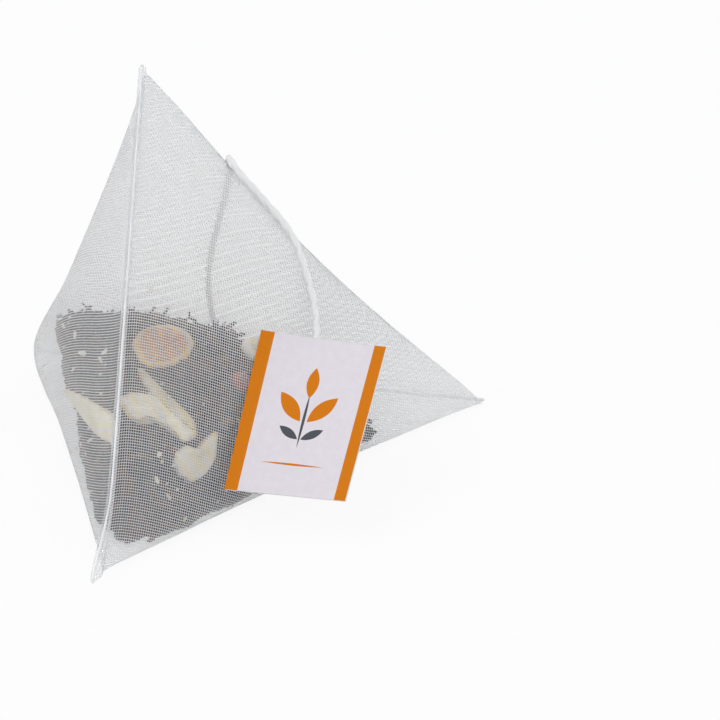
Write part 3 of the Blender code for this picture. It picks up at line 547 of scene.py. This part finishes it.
# Name, the solid it stands for, outline, thickness, cup, wrinkle, tear and seed of each piece.
CHIPS = (
    ("orange_chip", "orange_slice", level(
        [(-11.9, 13.7), (-12.4, 18.7), (-11.0, 21.2), (-8.6, 21.8), (-5.4, 20.1), (-3.0, 16.3), (-2.2, 11.2),
         (-3.6, 8.4), (-5.7, 7.1), (-8.4, 8.2)], 11.9), 1.1, 0.7, 0.10, 0.012, 51),
    ("apple_chip_broad", "apple_piece_broad", level(
        [(-7.6, -2.5), (-7.4, -0.0), (-6.1, 1.0), (-3.8, -0.1), (-0.9, -1.4), (2.7, -4.5), (5.9, -7.6), (8.6, -10.8),
         (8.4, -13.0), (6.4, -12.3), (3.1, -9.6), (-0.2, -7.2), (-2.0, -6.3), (-1.9, -8.9), (-4.2, -7.6)], 11.4),
     1.2, 0.4, 0.15, 0.03, 52),
    ("apple_chip_round", "apple_piece_round", level(
        [(1.5, 22.9), (1.2, 25.4), (2.2, 26.4), (3.9, 26.0), (5.7, 23.4), (5.9, 20.5), (4.3, 19.7)], 9.2),
     1.2, 0.4, 0.2, 0.03, 53),
    ("apple_chip_corner", "apple_piece_corner", [
        (4.5, -13.5, 8.4), (4.5, -12.5, 10.1), (5.4, -10.9, 10.3), (6.6, -9.5, 9.2), (7.5, -7.4, 10.4),
        (8.3, -6.0, 10.6), (8.5, -6.6, 8.7), (8.4, -7.9, 6.5), (7.5, -10.2, 5.3), (6.2, -12.4, 5.3),
        (5.2, -13.3, 6.6)], 1.2, 0.0, 0.12, 0.03, 54),
    ("apple_chip_side", "apple_piece_side", [
        (-21.3, 10.7, 5.8), (-16.3, 3.3, 9.3), (-9.3, -6.4, 13.0), (-3.9, -13.2, 15.2), (-2.2, -16.2, 15.6),
        (-1.9, -18.6, 14.4), (-1.9, -19.6, 13.4), (-3.4, -16.6, 12.2), (-7.1, -10.6, 10.0), (-10.7, -5.5, 9.0),
        (-15.4, 1.6, 7.7)], 1.2, 0.3, 0.15, 0.03, 55),
    ("peel_chip_long", "peel_strip_long", level(
        [(-9.0, 8.0), (-7.4, 7.0), (-5.1, 4.2), (-1.5, 0.3), (2.3, -3.5), (6.1, -7.7),
         (7.1, -10.1), (4.7, -8.4), (1.0, -4.8), (-2.9, -0.8), (-6.2, 3.2)], 12.1), 0.9, 0.0, 0.05, 0.02, 56),
    ("berry_chip_a", "berry_flake_a", level(
        [(4.0, 13.2), (5.7, 13.6), (7.2, 11.0), (7.8, 8.6), (6.3, 7.5), (4.8, 10.0)], 10.0),
     1.0, 0.2, 0.15, 0.05, 57),
    ("berry_chip_b", "berry_flake_b", level(
        [(15.6, 18.6), (17.4, 20.6), (19.6, 20.0), (19.8, 18.0), (17.8, 16.8)], 6.6),
     1.0, 0.2, 0.15, 0.05, 58),
)
chips = {}
for name, node, outline, thickness, cup, wrinkle, torn, seed in CHIPS:
    chips[node] = chip(name, kept_inside(np.array(outline), 1.1), thickness, cup, wrinkle, torn, seed)
CRUMB_SIDES = 5
FLECKS = np.array([
    (-16.5, 3.9, 17.9), (-13.4, -1.0, 17.6), (-21.4, 11.0, 15.7), (-7.4, -8.4, 20.5), (5.5, -17.4, 5.6),
    (6.1, -15.9, 6.0), (1.1, -9.2, 32.2), (-16.4, 2.1, 13.3), (-9.1, -10.0, 8.9), (7.4, -16.7, 2.1),
    (4.0, -16.4, 11.3), (4.4, -16.4, 10.3), (5.4, -15.2, 9.2), (4.1, -18.0, 8.3), (-6.5, -9.0, 22.1)])


def crumbs(name, places, count, seed):
    """Small broken crumbs that stick to the inside of the mesh, all in one mesh object."""
    rng = np.random.default_rng(seed)
    grid = coarse_rings[8:-8].reshape(-1, 3) - CENTRE
    grid = grid[(grid[:, 2] > 2.0) & (grid[:, 2] < 22.0) & (grid[:, 0] < 14.0)]
    places = np.concatenate([places, grid[rng.integers(0, len(grid), count)]])
    places = kept_inside(places, 0.5, hug=0.5)
    size = np.r_[rng.uniform(0.26, 0.46, len(places) - count), rng.uniform(0.10, 0.26, count)]
    step = unit(rng.normal(0.0, 1.0, (len(places), 3)))
    side = unit(np.cross(step, rng.normal(0.0, 1.0, (len(places), 3))))
    rise = np.cross(step, side)
    at = np.array([-1.0, -0.4, 0.35, 1.0])
    lines = places[:, None] + (size * 1.3)[:, None, None] * at[None, :, None] * step[:, None]
    radii = size[:, None, None] * np.array([0.5, 0.95, 0.85, 0.4])[None, :, None] * rng.uniform(
        0.45, 0.9, (len(places), 4, 2))
    verts, quads, caps = tubes(lines, side[:, None] + 0.0 * lines, rise[:, None] + 0.0 * lines, radii, CRUMB_SIDES)
    return make_piece(name, verts, quads, caps, smooth=False)


flecks = crumbs("pale_crumbs", FLECKS, 90, 61)
CHIP_POINTS = np.concatenate([np.array([v.co for v in c.data.vertices])[::7] for c in chips.values()]) * 1000.0
print("fruit pieces", len(chips))

# %% [markdown]
# ## Tea
# Each leaf is a small closed tube, flat and twisted, thick in the middle, with a kinked run. Some lie on the heap,
# the others press against the mesh.

# %%
HEAP_RUN = (-34.0, -29.0, -25.6, -22.0, -12.8, -6.6, -3.7, 1.4, 6.0, 14.0, 19.0, 22.0)
HEAP_HEIGHTS = (7.4, 8.9, 10.1, 10.8, 11.0, 10.5, 9.6, 8.0, 7.0, 5.4, 1.4, 0.2)
HEAP_END = 19.0
TIP_END = -22.5
LEFT_END = -30.0
LEFT_CLEAR = 2.1
INTO_BAG = np.array([0.879, 0.476])
POINTS = 10
SIDES = 6
HEAP_LEAVES, TOP_LEAVES, WALL_LEAVES = 380, 90, 560
UP = [0.0, 0.0, 1.0]


def make_leaves(name, leaves, seed):
    """All leaves of one group as one mesh, with a tone of its own on each."""
    rng = np.random.default_rng(seed)
    lines, widths = (np.array(part) for part in zip(*leaves))
    count = len(lines)
    along = np.linspace(0.0, 1.0, POINTS)
    step = unit(np.gradient(lines, axis=1))
    rough = rng.normal(0.0, 1.0, (count, 1, 3))
    side = unit(np.cross(step, rough + 0.0 * step))
    rise = np.cross(step, side)
    twist = rng.uniform(0.0, FULL_TURN, (count, 1)) + rng.normal(0.0, 2.6, (count, 1)) * along
    turned = np.cos(twist)[..., None] * side + np.sin(twist)[..., None] * rise
    flat = np.cross(step, turned)
    body = np.sin(np.pi * np.clip(0.10 + 0.84 * along, 0.0, 1.0)) ** 0.7
    lumps = 1.0 + 0.22 * rng.standard_normal((count, POINTS))
    half = 0.5 * widths[:, None] * body * np.clip(lumps, 0.5, 1.5)
    thin = half * rng.uniform(0.35, 0.85, (count, 1))
    verts, quads, caps = tubes(lines, turned, flat, np.stack([half, thin], axis=-1), SIDES)
    verts = verts.reshape(count, POINTS, SIDES, 3)
    verts = verts + 0.06 * rng.standard_normal(verts.shape)
    piece = make_piece(name, verts, quads, caps)
    set_values(piece, "tone", np.repeat(rng.random(count), POINTS * SIDES))
    return piece


def bent_run(start, direction, square, length, rng):
    """Points of one leaf: a run that bends, with a kink or two."""
    at = np.linspace(-0.5, 0.5, POINTS)
    bend = rng.normal(0.0, 0.16) * length
    wave = rng.normal(0.0, 0.035) * length
    offset = bend * (4.0 * at * at - 0.33) + wave * np.sin(9.0 * at + rng.uniform(0.0, FULL_TURN))
    return start + np.outer(at * length, direction) + np.outer(offset, square) + rng.normal(0.0, 0.10, (POINTS, 3))


def heap_place(x, y):
    """Distance across the heap, along a line that runs from the left to the right and a little back."""
    return x + 0.4 * (y - 28.0)


def heap_height(x, y):
    """Height of the tea: full on the left, lower towards the right corner, where it ends."""
    return np.interp(heap_place(x, y), HEAP_RUN, HEAP_HEIGHTS)


def from_left_fold(x, y):
    """Distance in plan from the fold that runs on the floor from the left corner to the tip."""
    return INTO_BAG[0] * (x + 35.5) + INTO_BAG[1] * (y - 33.8)


def stays_inside(line, width):
    """True when a leaf's line keeps clear of the skin, of the corners and of the left fold."""
    x, y = line[:, 0], line[:, 1]
    if y.min() < TIP_END or x.min() < LEFT_END or heap_place(x, y).max() > HEAP_END:
        return False
    if from_left_fold(x, y).min() < LEFT_CLEAR:
        return False
    return all(depth_of(point) > 0.5 * width + 0.10 for point in line)


def clear_of_chips(line):
    """True when a leaf does not lie over one of the fruit pieces."""
    return np.linalg.norm(line[:, None, :] - CHIP_POINTS[None, :, :], axis=2).min() > 1.7


def pointing(heading, tilt):
    """The direction with this heading on the floor and this tilt above it."""
    return np.array([np.cos(heading) * np.cos(tilt), np.sin(heading) * np.cos(tilt), np.sin(tilt)])


def keep_leaf(leaves, line, width):
    """Adds the leaf to the list where it has room."""
    if stays_inside(line, width) and clear_of_chips(line):
        leaves.append((line, width))


rng = np.random.default_rng(21)
on_heap, at_wall = [], []
while len(on_heap) < HEAP_LEAVES:
    start = np.array([rng.uniform(-33.0, 33.0), rng.uniform(-30.0, 29.0), 0.0])
    start[2] = heap_height(start[0], start[1]) - 0.6 + rng.uniform(-0.9, 0.9)
    if depth_of(start) < 1.2:
        continue
    heading = rng.uniform(0.0, FULL_TURN)
    tilt = rng.normal(0.0, 0.10) if len(on_heap) % 6 else rng.uniform(0.25, 0.8)
    direction = pointing(heading, tilt)
    width = rng.uniform(0.8, 1.7)
    line = bent_run(start, direction, unit(np.cross(direction, UP)), rng.uniform(5.0, 14.0), rng)
    keep_leaf(on_heap, kept_inside(line, 0.5 * width + 0.40), width)
while len(on_heap) < HEAP_LEAVES + TOP_LEAVES:
    start = np.array([rng.uniform(-27.0, 4.0), rng.uniform(17.0, 29.0), 0.0])
    start[2] = heap_height(start[0], start[1]) + rng.uniform(-0.4, 0.5)
    direction = pointing(rng.uniform(0.0, FULL_TURN), rng.uniform(0.3, 1.2))
    width = rng.uniform(0.7, 1.3)
    line = bent_run(start, direction, unit(np.cross(direction, UP)), rng.uniform(3.0, 6.5), rng)
    keep_leaf(on_heap, line, width)

skin_grid = coarse_rings - CENTRE
while len(at_wall) < WALL_LEAVES:
    i, k = rng.integers(6, len(coarse_t) - 6), rng.integers(0, AROUND)
    base = skin_grid[i, k]
    if base[2] > heap_height(base[0], base[1]) + 0.3 or base[2] < 1.0:
        continue
    width = rng.uniform(0.8, 1.7)
    normal = np.array(skin.find_nearest(Vector(base))[1]) * INWARD
    direction = unit(np.cross(normal, rng.normal(0.0, 1.0, 3)))
    square = np.cross(normal, direction)
    deep = 0.5 * width + rng.uniform(0.35, 1.5)
    line = bent_run(base + deep * normal, direction, square, rng.uniform(5.0, 13.0), rng)
    line = kept_inside(line, 0.5 * width + 0.35, hug=deep)
    line[:, 2] = np.minimum(line[:, 2], heap_height(line[:, 0], line[:, 1]) + 0.5 + 0.3 * rng.standard_normal())
    keep_leaf(at_wall, kept_inside(line, 0.5 * width + 0.35), width)
heap_leaves = make_leaves("tea_on_heap", on_heap, 31)
wall_leaves = make_leaves("tea_at_wall", at_wall, 32)
print("leaves", len(on_heap) + len(at_wall))

# %% [markdown]
# ## Packed tea
# The solid bed of tea, cut finer and roughened, fills the dark depth between the leaves.

# %%
BED_EDGE, BED_FLOOR = 0.0016, 0.0005

bed_mesh = bpy.data.meshes.new("packed_tea")
work = bmesh.new()
work.from_mesh(NODES["leaf_bed"].data)
bmesh.ops.remove_doubles(work, verts=work.verts, dist=0.00002)
bmesh.ops.triangulate(work, faces=work.faces)
for _ in range(3):
    long_edges = [e for e in work.edges if e.calc_length() > BED_EDGE]
    if long_edges:
        bmesh.ops.subdivide_edges(work, edges=long_edges, cuts=1)
        bmesh.ops.triangulate(work, faces=[f for f in work.faces if len(f.verts) > 3])
work.normal_update()
work.to_mesh(bed_mesh)
work.free()
count = len(bed_mesh.vertices)
at, out = np.zeros(count * 3), np.zeros(count * 3)
bed_mesh.vertices.foreach_get("co", at)
bed_mesh.vertex_normals.foreach_get("vector", out)
at, out = at.reshape(-1, 3), out.reshape(-1, 3)
rng = np.random.default_rng(41)
at += 0.00022 * rng.standard_normal((count, 1)) * out
at[:, 2] = np.maximum(at[:, 2], BED_FLOOR)
past = np.maximum(heap_place(1000.0 * at[:, 0], 1000.0 * at[:, 1]) - HEAP_END + 1.0, 0.0) / 1000.0
at[:, 0] -= past
short = np.maximum(LEFT_CLEAR / 1000.0 - from_left_fold(1000.0 * at[:, 0], 1000.0 * at[:, 1]) / 1000.0, 0.0)
at[:, :2] += short[:, None] * INTO_BAG
at[:, 1] = np.maximum(at[:, 1], TIP_END / 1000.0)
high = heap_height(1000.0 * at[:, 0], 1000.0 * at[:, 1]) - 1.1 + 0.3 * rng.standard_normal(count)
at[:, 2] = np.clip(at[:, 2], BED_FLOOR, np.maximum(high, 0.6) / 1000.0)
bed_mesh.vertices.foreach_set("co", at.ravel())
bed_mesh.update()
packed_tea = add_object("packed_tea", bed_mesh)
print("packed tea", len(bed_mesh.polygons), "faces")

# %% [markdown]
# ## Card tag
# A thin printed card, bowed a little towards its top corners. Its own UV map counts millimetres from its middle.

# %%
TAG_CORNERS = np.array([(11.85, -13.41, 5.60), (29.55, -14.90, 6.81), (12.12, 3.19, 22.09), (30.07, 3.33, 21.48)])
TAG_THICKNESS = 0.34
TAG_SAG = 0.4
COLUMNS, ROWS = 33, 41


def tag_card():
    """The card as one closed box of small faces, printed on its front."""
    corners = TAG_CORNERS
    u, v = np.meshgrid(np.linspace(0.0, 1.0, COLUMNS), np.linspace(0.0, 1.0, ROWS))
    across, up = corners[1] - corners[0], corners[2] - corners[0]
    facing = unit(np.cross(across, up))
    u3, v3 = u[..., None], v[..., None]
    lower = (1.0 - u3) * corners[0] + u3 * corners[1]
    upper = (1.0 - u3) * corners[2] + u3 * corners[3]
    sag = TAG_SAG * (1.0 - (2.0 * u3 - 1.0) ** 2) * v3
    sheet = (1.0 - v3) * lower + v3 * upper - sag * facing
    front = sheet + 0.5 * TAG_THICKNESS * facing
    back = sheet - 0.5 * TAG_THICKNESS * facing
    ids = np.arange(COLUMNS * ROWS).reshape(ROWS, COLUMNS)
    face = np.stack([ids[:-1, :-1], ids[:-1, 1:], ids[1:, 1:], ids[1:, :-1]], axis=-1).reshape(-1, 4)
    shift = COLUMNS * ROWS
    edge = np.concatenate([ids[0, :-1], ids[:-1, -1], ids[-1, :0:-1], ids[:0:-1, 0]])
    after = np.roll(edge, -1)
    rim = np.stack([after, edge, edge + shift, after + shift], axis=1)
    piece = make_piece("tag_card", np.concatenate([front.reshape(-1, 3), back.reshape(-1, 3)]),
                       np.concatenate([face, face[:, ::-1] + shift, rim]), smooth=False)
    flat = np.stack([(u - 0.5) * np.linalg.norm(across), (v - 0.5) * np.linalg.norm(up)], axis=-1).reshape(-1, 2)
    flat = np.concatenate([flat, flat])
    layer = piece.data.uv_layers.new(name="card_mm")
    corner = np.zeros(len(piece.data.loops), np.int32)
    piece.data.loops.foreach_get("vertex_index", corner)
    layer.data.foreach_set("uv", flat[corner].astype(np.float32).ravel())
    set_values(piece, "printed", np.r_[np.ones(len(face)), np.zeros(len(face) + len(rim))], "FACE")
    return piece


tag = tag_card()
print("card", len(tag.data.polygons), "faces")

# %% [markdown]
# ## Materials
# Colours are given as they look on a screen, 0 to 255, and turned into Blender's linear values.

# %%
def screen(red, green, blue):
    values = np.array([red, green, blue]) / 255.0
    linear = np.where(values <= 0.04045, values / 12.92, ((values + 0.055) / 1.055) ** 2.4)
    return (*[float(v) for v in linear], 1.0)


def new_node(tree, kind, **settings):
    node = tree.nodes.new(kind)
    for key, value in settings.items():
        setattr(node, key, value)
    return node


def feed(tree, socket, value):
    """Joins an output to an input, or sets the input to a constant."""
    if isinstance(value, bpy.types.NodeSocket):
        tree.links.new(value, socket)
    else:
        socket.default_value = value


def calc(tree, operation, *values, clamp=False):
    node = new_node(tree, "ShaderNodeMath", operation=operation, use_clamp=clamp)
    for socket, value in zip(node.inputs, values):
        feed(tree, socket, value)
    return node.outputs[0]


def mixed(tree, factor, first, second):
    node = new_node(tree, "ShaderNodeMix", data_type="RGBA")
    feed(tree, node.inputs[0], factor)
    feed(tree, node.inputs[6], first)
    feed(tree, node.inputs[7], second)
    return node.outputs[2]


def noise(tree, vector, scale, detail=4.0, roughness=0.6):
    node = new_node(tree, "ShaderNodeTexNoise")
    feed(tree, node.inputs["Vector"], vector)
    feed(tree, node.inputs["Scale"], scale)
    feed(tree, node.inputs["Detail"], detail)
    feed(tree, node.inputs["Roughness"], roughness)
    return node.outputs["Fac"]


def ramp(tree, factor, low, high):
    """A smooth step of the factor from low to high."""
    node = new_node(tree, "ShaderNodeMapRange", interpolation_type="SMOOTHSTEP")
    feed(tree, node.inputs["Value"], factor)
    feed(tree, node.inputs["From Min"], low)
    feed(tree, node.inputs["From Max"], high)
    return node.outputs["Result"]


def grain_group():
    """Blotches and fine grain at a given scale, both from 0 to 1, and a height made of the two."""
    tree = bpy.data.node_groups.new("grain", "ShaderNodeTree")
    for name, kind in (("Vector", "NodeSocketVector"), ("Scale", "NodeSocketFloat")):
        tree.interface.new_socket(name, in_out="INPUT", socket_type=kind)
    for name in ("Blotch", "Fine", "Height"):
        tree.interface.new_socket(name, in_out="OUTPUT", socket_type="NodeSocketFloat")
    start, end = tree.nodes.new("NodeGroupInput"), tree.nodes.new("NodeGroupOutput")
    vector, scale = start.outputs["Vector"], start.outputs["Scale"]
    blotch = ramp(tree, noise(tree, vector, scale, 3.0), 0.30, 0.70)
    fine = ramp(tree, noise(tree, vector, calc(tree, "MULTIPLY", scale, 6.0), 5.0, 0.7), 0.25, 0.75)
    height = calc(tree, "ADD", calc(tree, "MULTIPLY", blotch, 0.6), calc(tree, "MULTIPLY", fine, 0.4))
    for name, value in (("Blotch", blotch), ("Fine", fine), ("Height", height)):
        tree.links.new(value, end.inputs[name])
    return tree


GRAIN = grain_group()


def start_material(name, roughness):
    material = bpy.data.materials.new(name)
    material.use_nodes = True
    tree = material.node_tree
    shader = tree.nodes["Principled BSDF"]
    shader.inputs["Roughness"].default_value = roughness
    shader.inputs["Specular IOR Level"].default_value = 0.25
    at = tree.nodes.new("ShaderNodeTexCoord").outputs["Object"]
    return material, tree, shader, at


def grain_of(tree, vector, scale):
    node = tree.nodes.new("ShaderNodeGroup")
    node.node_tree = GRAIN
    tree.links.new(vector, node.inputs["Vector"])
    node.inputs["Scale"].default_value = scale
    return node.outputs["Blotch"], node.outputs["Fine"], node.outputs["Height"]


def bump(tree, shader, height, strength, distance):
    node = new_node(tree, "ShaderNodeBump")
    node.inputs["Strength"].default_value = strength
    node.inputs["Distance"].default_value = distance
    tree.links.new(height, node.inputs["Height"])
    tree.links.new(node.outputs["Normal"], shader.inputs["Normal"])


def attribute(tree, name):
    node = tree.nodes.new("ShaderNodeAttribute")
    node.attribute_name = name
    return node.outputs["Fac"]


def plain_grain(name, dark, light, scale, roughness, strength, distance, passing=0.0):
    """A material whose colour wanders between two, with a bump. It lets the share `passing` through."""
    material, tree, shader, at = start_material(name, roughness)
    shader.inputs["Transmission Weight"].default_value = passing
    shader.inputs["IOR"].default_value = 1.08 if passing else 1.5
    blotch, fine, height = grain_of(tree, at, scale)
    share = calc(tree, "ADD", calc(tree, "MULTIPLY", blotch, 0.65), calc(tree, "MULTIPLY", fine, 0.35), clamp=True)
    tree.links.new(mixed(tree, share, dark, light), shader.inputs["Base Color"])
    rough = calc(tree, "ADD", roughness - 0.08, calc(tree, "MULTIPLY", fine, 0.16), clamp=True)
    tree.links.new(rough, shader.inputs["Roughness"])
    bump(tree, shader, height, strength, distance)
    return material


def tea_material(name, tone):
    material, tree, shader, at = start_material(name, 0.55)
    blotch, fine, height = grain_of(tree, at, 420.0)
    lot = attribute(tree, "tone") if tone else blotch
    brown = mixed(tree, ramp(tree, lot, 0.20, 0.90), screen(38, 25, 15), screen(124, 73, 40))
    pale = mixed(tree, ramp(tree, lot, 0.955, 0.985), brown, screen(158, 124, 84))
    shade = mixed(tree, calc(tree, "MULTIPLY", fine, 0.6), pale, screen(24, 19, 16))
    tree.links.new(shade, shader.inputs["Base Color"])
    bump(tree, shader, height, 0.8, 0.0002)
    return material


def orange_material():
    """Pulp in wedges with pale walls between them, inside a pale rim."""
    material, tree, shader, at = start_material("dried_orange", 0.6)
    blotch, fine, height = grain_of(tree, at, 260.0)
    rim = attribute(tree, "rim")
    wedge = calc(tree, "ABSOLUTE", calc(tree, "SUBTRACT", calc(tree, "FRACT", calc(
        tree, "MULTIPLY", attribute(tree, "spoke"), 9.0)), 0.5))
    wall = ramp(tree, wedge, 0.36, 0.48)
    pulp = mixed(tree, blotch, screen(184, 124, 82), screen(216, 166, 120))
    inner = mixed(tree, calc(tree, "MULTIPLY", wall, 0.7), pulp, screen(226, 196, 150))
    pith = mixed(tree, fine, screen(236, 216, 160), screen(222, 188, 118))
    edge = calc(tree, "ADD", rim, calc(tree, "MULTIPLY", calc(tree, "SUBTRACT", blotch, 0.5), 0.10))
    tree.links.new(mixed(tree, ramp(tree, edge, 0.74, 0.86), inner, pith), shader.inputs["Base Color"])
    bump(tree, shader, calc(tree, "SUBTRACT", height, calc(tree, "MULTIPLY", wall, 0.5)), 0.8, 0.0003)
    return material


def chip_material(name, dark, light, edge_colour):
    material, tree, shader, at = start_material(name, 0.65)
    blotch, _, height = grain_of(tree, at, 300.0)
    flesh = mixed(tree, calc(tree, "MULTIPLY", blotch, 0.8), light, dark)
    edge = ramp(tree, calc(tree, "ADD", attribute(tree, "rim"), calc(tree, "MULTIPLY", blotch, 0.15)), 0.93, 1.10)
    tree.links.new(mixed(tree, calc(tree, "MULTIPLY", edge, 0.6), flesh, edge_colour), shader.inputs["Base Color"])
    bump(tree, shader, height, 0.7, 0.0003)
    return material


def petal_mask(tree, at, centre, angle, length, width):
    """1 inside a pointed oval leaf shape on the card, else 0."""
    shift = new_node(tree, "ShaderNodeVectorMath", operation="SUBTRACT")
    feed(tree, shift.inputs[0], at)
    shift.inputs[1].default_value = (*centre, 0.0)
    turn = new_node(tree, "ShaderNodeVectorRotate", rotation_type="Z_AXIS")
    tree.links.new(shift.outputs[0], turn.inputs["Vector"])
    turn.inputs["Angle"].default_value = np.radians(-angle)
    split = new_node(tree, "ShaderNodeSeparateXYZ")
    tree.links.new(turn.outputs[0], split.inputs[0])
    along = calc(tree, "DIVIDE", split.outputs["X"], length)
    room = calc(tree, "MULTIPLY", calc(tree, "SUBTRACT", 1.0, calc(tree, "MULTIPLY", along, along)), width)
    return calc(tree, "GREATER_THAN", room, calc(tree, "ABSOLUTE", split.outputs["Y"]))


STRIPE_LEFT, STRIPE_RIGHT = -6.98, 7.25


def card_material():
    """White card with a coloured stripe down each side and a plain sprig."""
    material, tree, shader, at = start_material("printed_card", 0.55)
    shader.inputs["Specular IOR Level"].default_value = 0.1
    blotch, fine, _ = grain_of(tree, at, 900.0)
    uv = tree.nodes.new("ShaderNodeUVMap")
    uv.uv_map = "card_mm"
    split = new_node(tree, "ShaderNodeSeparateXYZ")
    tree.links.new(uv.outputs["UV"], split.inputs[0])
    paper = mixed(tree, blotch, screen(225, 219, 225), screen(221, 215, 221))
    orange, grey = screen(211, 120, 12), screen(80, 82, 90)
    left = calc(tree, "LESS_THAN", split.outputs["X"], STRIPE_LEFT)
    right = calc(tree, "GREATER_THAN", split.outputs["X"], STRIPE_RIGHT)
    colour = mixed(tree, calc(tree, "MAXIMUM", left, right), paper, orange)
    for centre, angle, length, width, ink in SPRIG:
        colour = mixed(tree, petal_mask(tree, uv.outputs["UV"], centre, angle, length, width), colour,
                       orange if ink == "orange" else grey)
    printed = mixed(tree, attribute(tree, "printed"), screen(232, 230, 232), colour)
    tree.links.new(printed, shader.inputs["Base Color"])
    bump(tree, shader, fine, 0.15, 0.00005)
    return material


SPRIG = (
    ((0.0, -0.6), 90.0, 4.2, 0.20, "grey"),
    ((-2.3, 1.2), 132.0, 2.7, 1.05, "orange"),
    ((2.3, 1.2), 48.0, 2.7, 1.05, "orange"),
    ((0.0, 5.0), 90.0, 2.3, 0.85, "orange"),
    ((-1.7, -2.6), 150.0, 1.7, 0.60, "grey"),
    ((1.7, -2.6), 30.0, 1.7, 0.60, "grey"),
    ((0.0, -7.2), 0.0, 4.6, 0.16, "orange"),
)

nylon = plain_grain("nylon_thread", screen(242, 243, 244), screen(249, 249, 250), scale=900.0, roughness=0.60,
                    strength=0.2, distance=0.00002, passing=0.64)
weld = plain_grain("fused_nylon", screen(240, 242, 243), screen(252, 252, 252), scale=700.0, roughness=0.38,
                   strength=0.5, distance=0.00010)
cotton = plain_grain("cotton", screen(252, 252, 252), screen(255, 255, 255), scale=2600.0, roughness=0.85,
                     strength=0.2, distance=0.00004, passing=0.20)
leaf_tea = tea_material("twisted_tea", True)
bed_tea = tea_material("packed_tea", False)
apple = chip_material("dried_apple", screen(236, 222, 182), screen(252, 246, 224), screen(204, 166, 112))
peel = chip_material("dried_peel", screen(206, 188, 146), screen(232, 219, 182), screen(206, 170, 110))
berry = chip_material("dried_berry", screen(150, 74, 62), screen(196, 120, 96), screen(110, 46, 40))
crumb = plain_grain("pale_crumb", screen(232, 222, 200), screen(252, 250, 244), scale=500.0, roughness=0.6,
                    strength=0.4, distance=0.00005)
orange_look = orange_material()
card = card_material()
print("materials", len(bpy.data.materials))

# %% [markdown]
# ## Every piece gets its finish, its body and the solid it stands for

# %%
DRESS = [
    (string_look, cotton, "thread", ["string"]),
    (tag, card, "card", ["tag"]),
    (heap_leaves, leaf_tea, "tea", [n for n in NODES if n.startswith("tea_leaf_")]),
    (wall_leaves, leaf_tea, "tea", []),
    (packed_tea, bed_tea, "tea", ["leaf_bed"]),
    (flecks, crumb, "apple", []),
    (front_bead, weld, "mesh", []),
    (back_bead, weld, "mesh", []),
]
DRESS += [(piece, nylon, "mesh", ["mesh_bag"] if i == 0 else []) for i, piece in enumerate(weave_pieces)]
FRUIT_LOOK = {"orange_slice": (orange_look, "orange"), "peel_strip_long": (peel, "apple"),
              "berry_flake_a": (berry, "berry"), "berry_flake_b": (berry, "berry")}
for node, piece in chips.items():
    finish, slot = FRUIT_LOOK.get(node, (apple, "apple"))
    DRESS.append((piece, finish, slot, [node]))
for piece, finish, slot, nodes in DRESS:
    piece.data.materials.clear()
    piece.data.materials.append(finish)
    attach(piece, "root")
    if nodes:
        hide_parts(*nodes)
print("dressed", len(DRESS), "pieces")

# %% [markdown]
# ## Light and floor
# A white surround lights the bag evenly, a large soft lamp stands at the left and a weaker one at the right, and
# the pale floor fades to white.

# %%
def straight_ray(tree):
    """1 for rays from the camera, also after they went through the nylon, else 0."""
    path = tree.nodes.new("ShaderNodeLightPath")
    return calc(tree, "MAXIMUM", path.outputs["Is Camera Ray"], path.outputs["Is Transmission Ray"])


world = bpy.data.worlds.new("surround")
SCENE.world = world
world.use_nodes = True
tree = world.node_tree
tree.nodes.clear()
end = tree.nodes.new("ShaderNodeOutputWorld")
lit = new_node(tree, "ShaderNodeBackground")
lit.inputs["Color"].default_value = (0.97, 0.985, 1.0, 1.0)
lit.inputs["Strength"].default_value = 0.78
seen = new_node(tree, "ShaderNodeBackground")
seen.inputs["Strength"].default_value = 1.0
choose = new_node(tree, "ShaderNodeMixShader")
tree.links.new(straight_ray(tree), choose.inputs[0])
tree.links.new(lit.outputs[0], choose.inputs[1])
tree.links.new(seen.outputs[0], choose.inputs[2])
tree.links.new(choose.outputs[0], end.inputs["Surface"])

floor_mesh = bpy.data.meshes.new("floor")
floor_mesh.from_pydata([(-3, -3, -0.0003), (3, -3, -0.0003), (3, 3, -0.0003), (-3, 3, -0.0003)], [], [(0, 1, 2, 3)])
floor = add_object("floor", floor_mesh)
pale = bpy.data.materials.new("pale_floor")
pale.use_nodes = True
tree = pale.node_tree
shader = tree.nodes["Principled BSDF"]
shader.inputs["Base Color"].default_value = (0.86, 0.86, 0.86, 1.0)
shader.inputs["Roughness"].default_value = 0.9
glow = new_node(tree, "ShaderNodeEmission")
choose = new_node(tree, "ShaderNodeMixShader")
tree.links.new(calc(tree, "MULTIPLY", straight_ray(tree), 0.90), choose.inputs[0])
tree.links.new(shader.outputs[0], choose.inputs[1])
tree.links.new(glow.outputs[0], choose.inputs[2])
tree.links.new(choose.outputs[0], tree.nodes["Material Output"].inputs["Surface"])
floor_mesh.materials.append(pale)


LAMP_TARGET = Vector((0.0, 0.0, 0.02))


def lamp(name, place, size, power):
    """A square soft lamp that looks at the bag."""
    data = bpy.data.lights.new(name, "AREA")
    data.size = size
    data.energy = power
    place = Vector(place)
    turn = (LAMP_TARGET - place).to_track_quat("-Z", "Y").to_matrix().to_4x4()
    add_object(name, data).matrix_world = Matrix.Translation(place) @ turn


lamp("key", (-0.45, -0.55, 0.85), size=0.7, power=2.9)
lamp("fill", (0.75, -0.60, 0.45), size=0.8, power=1.1)
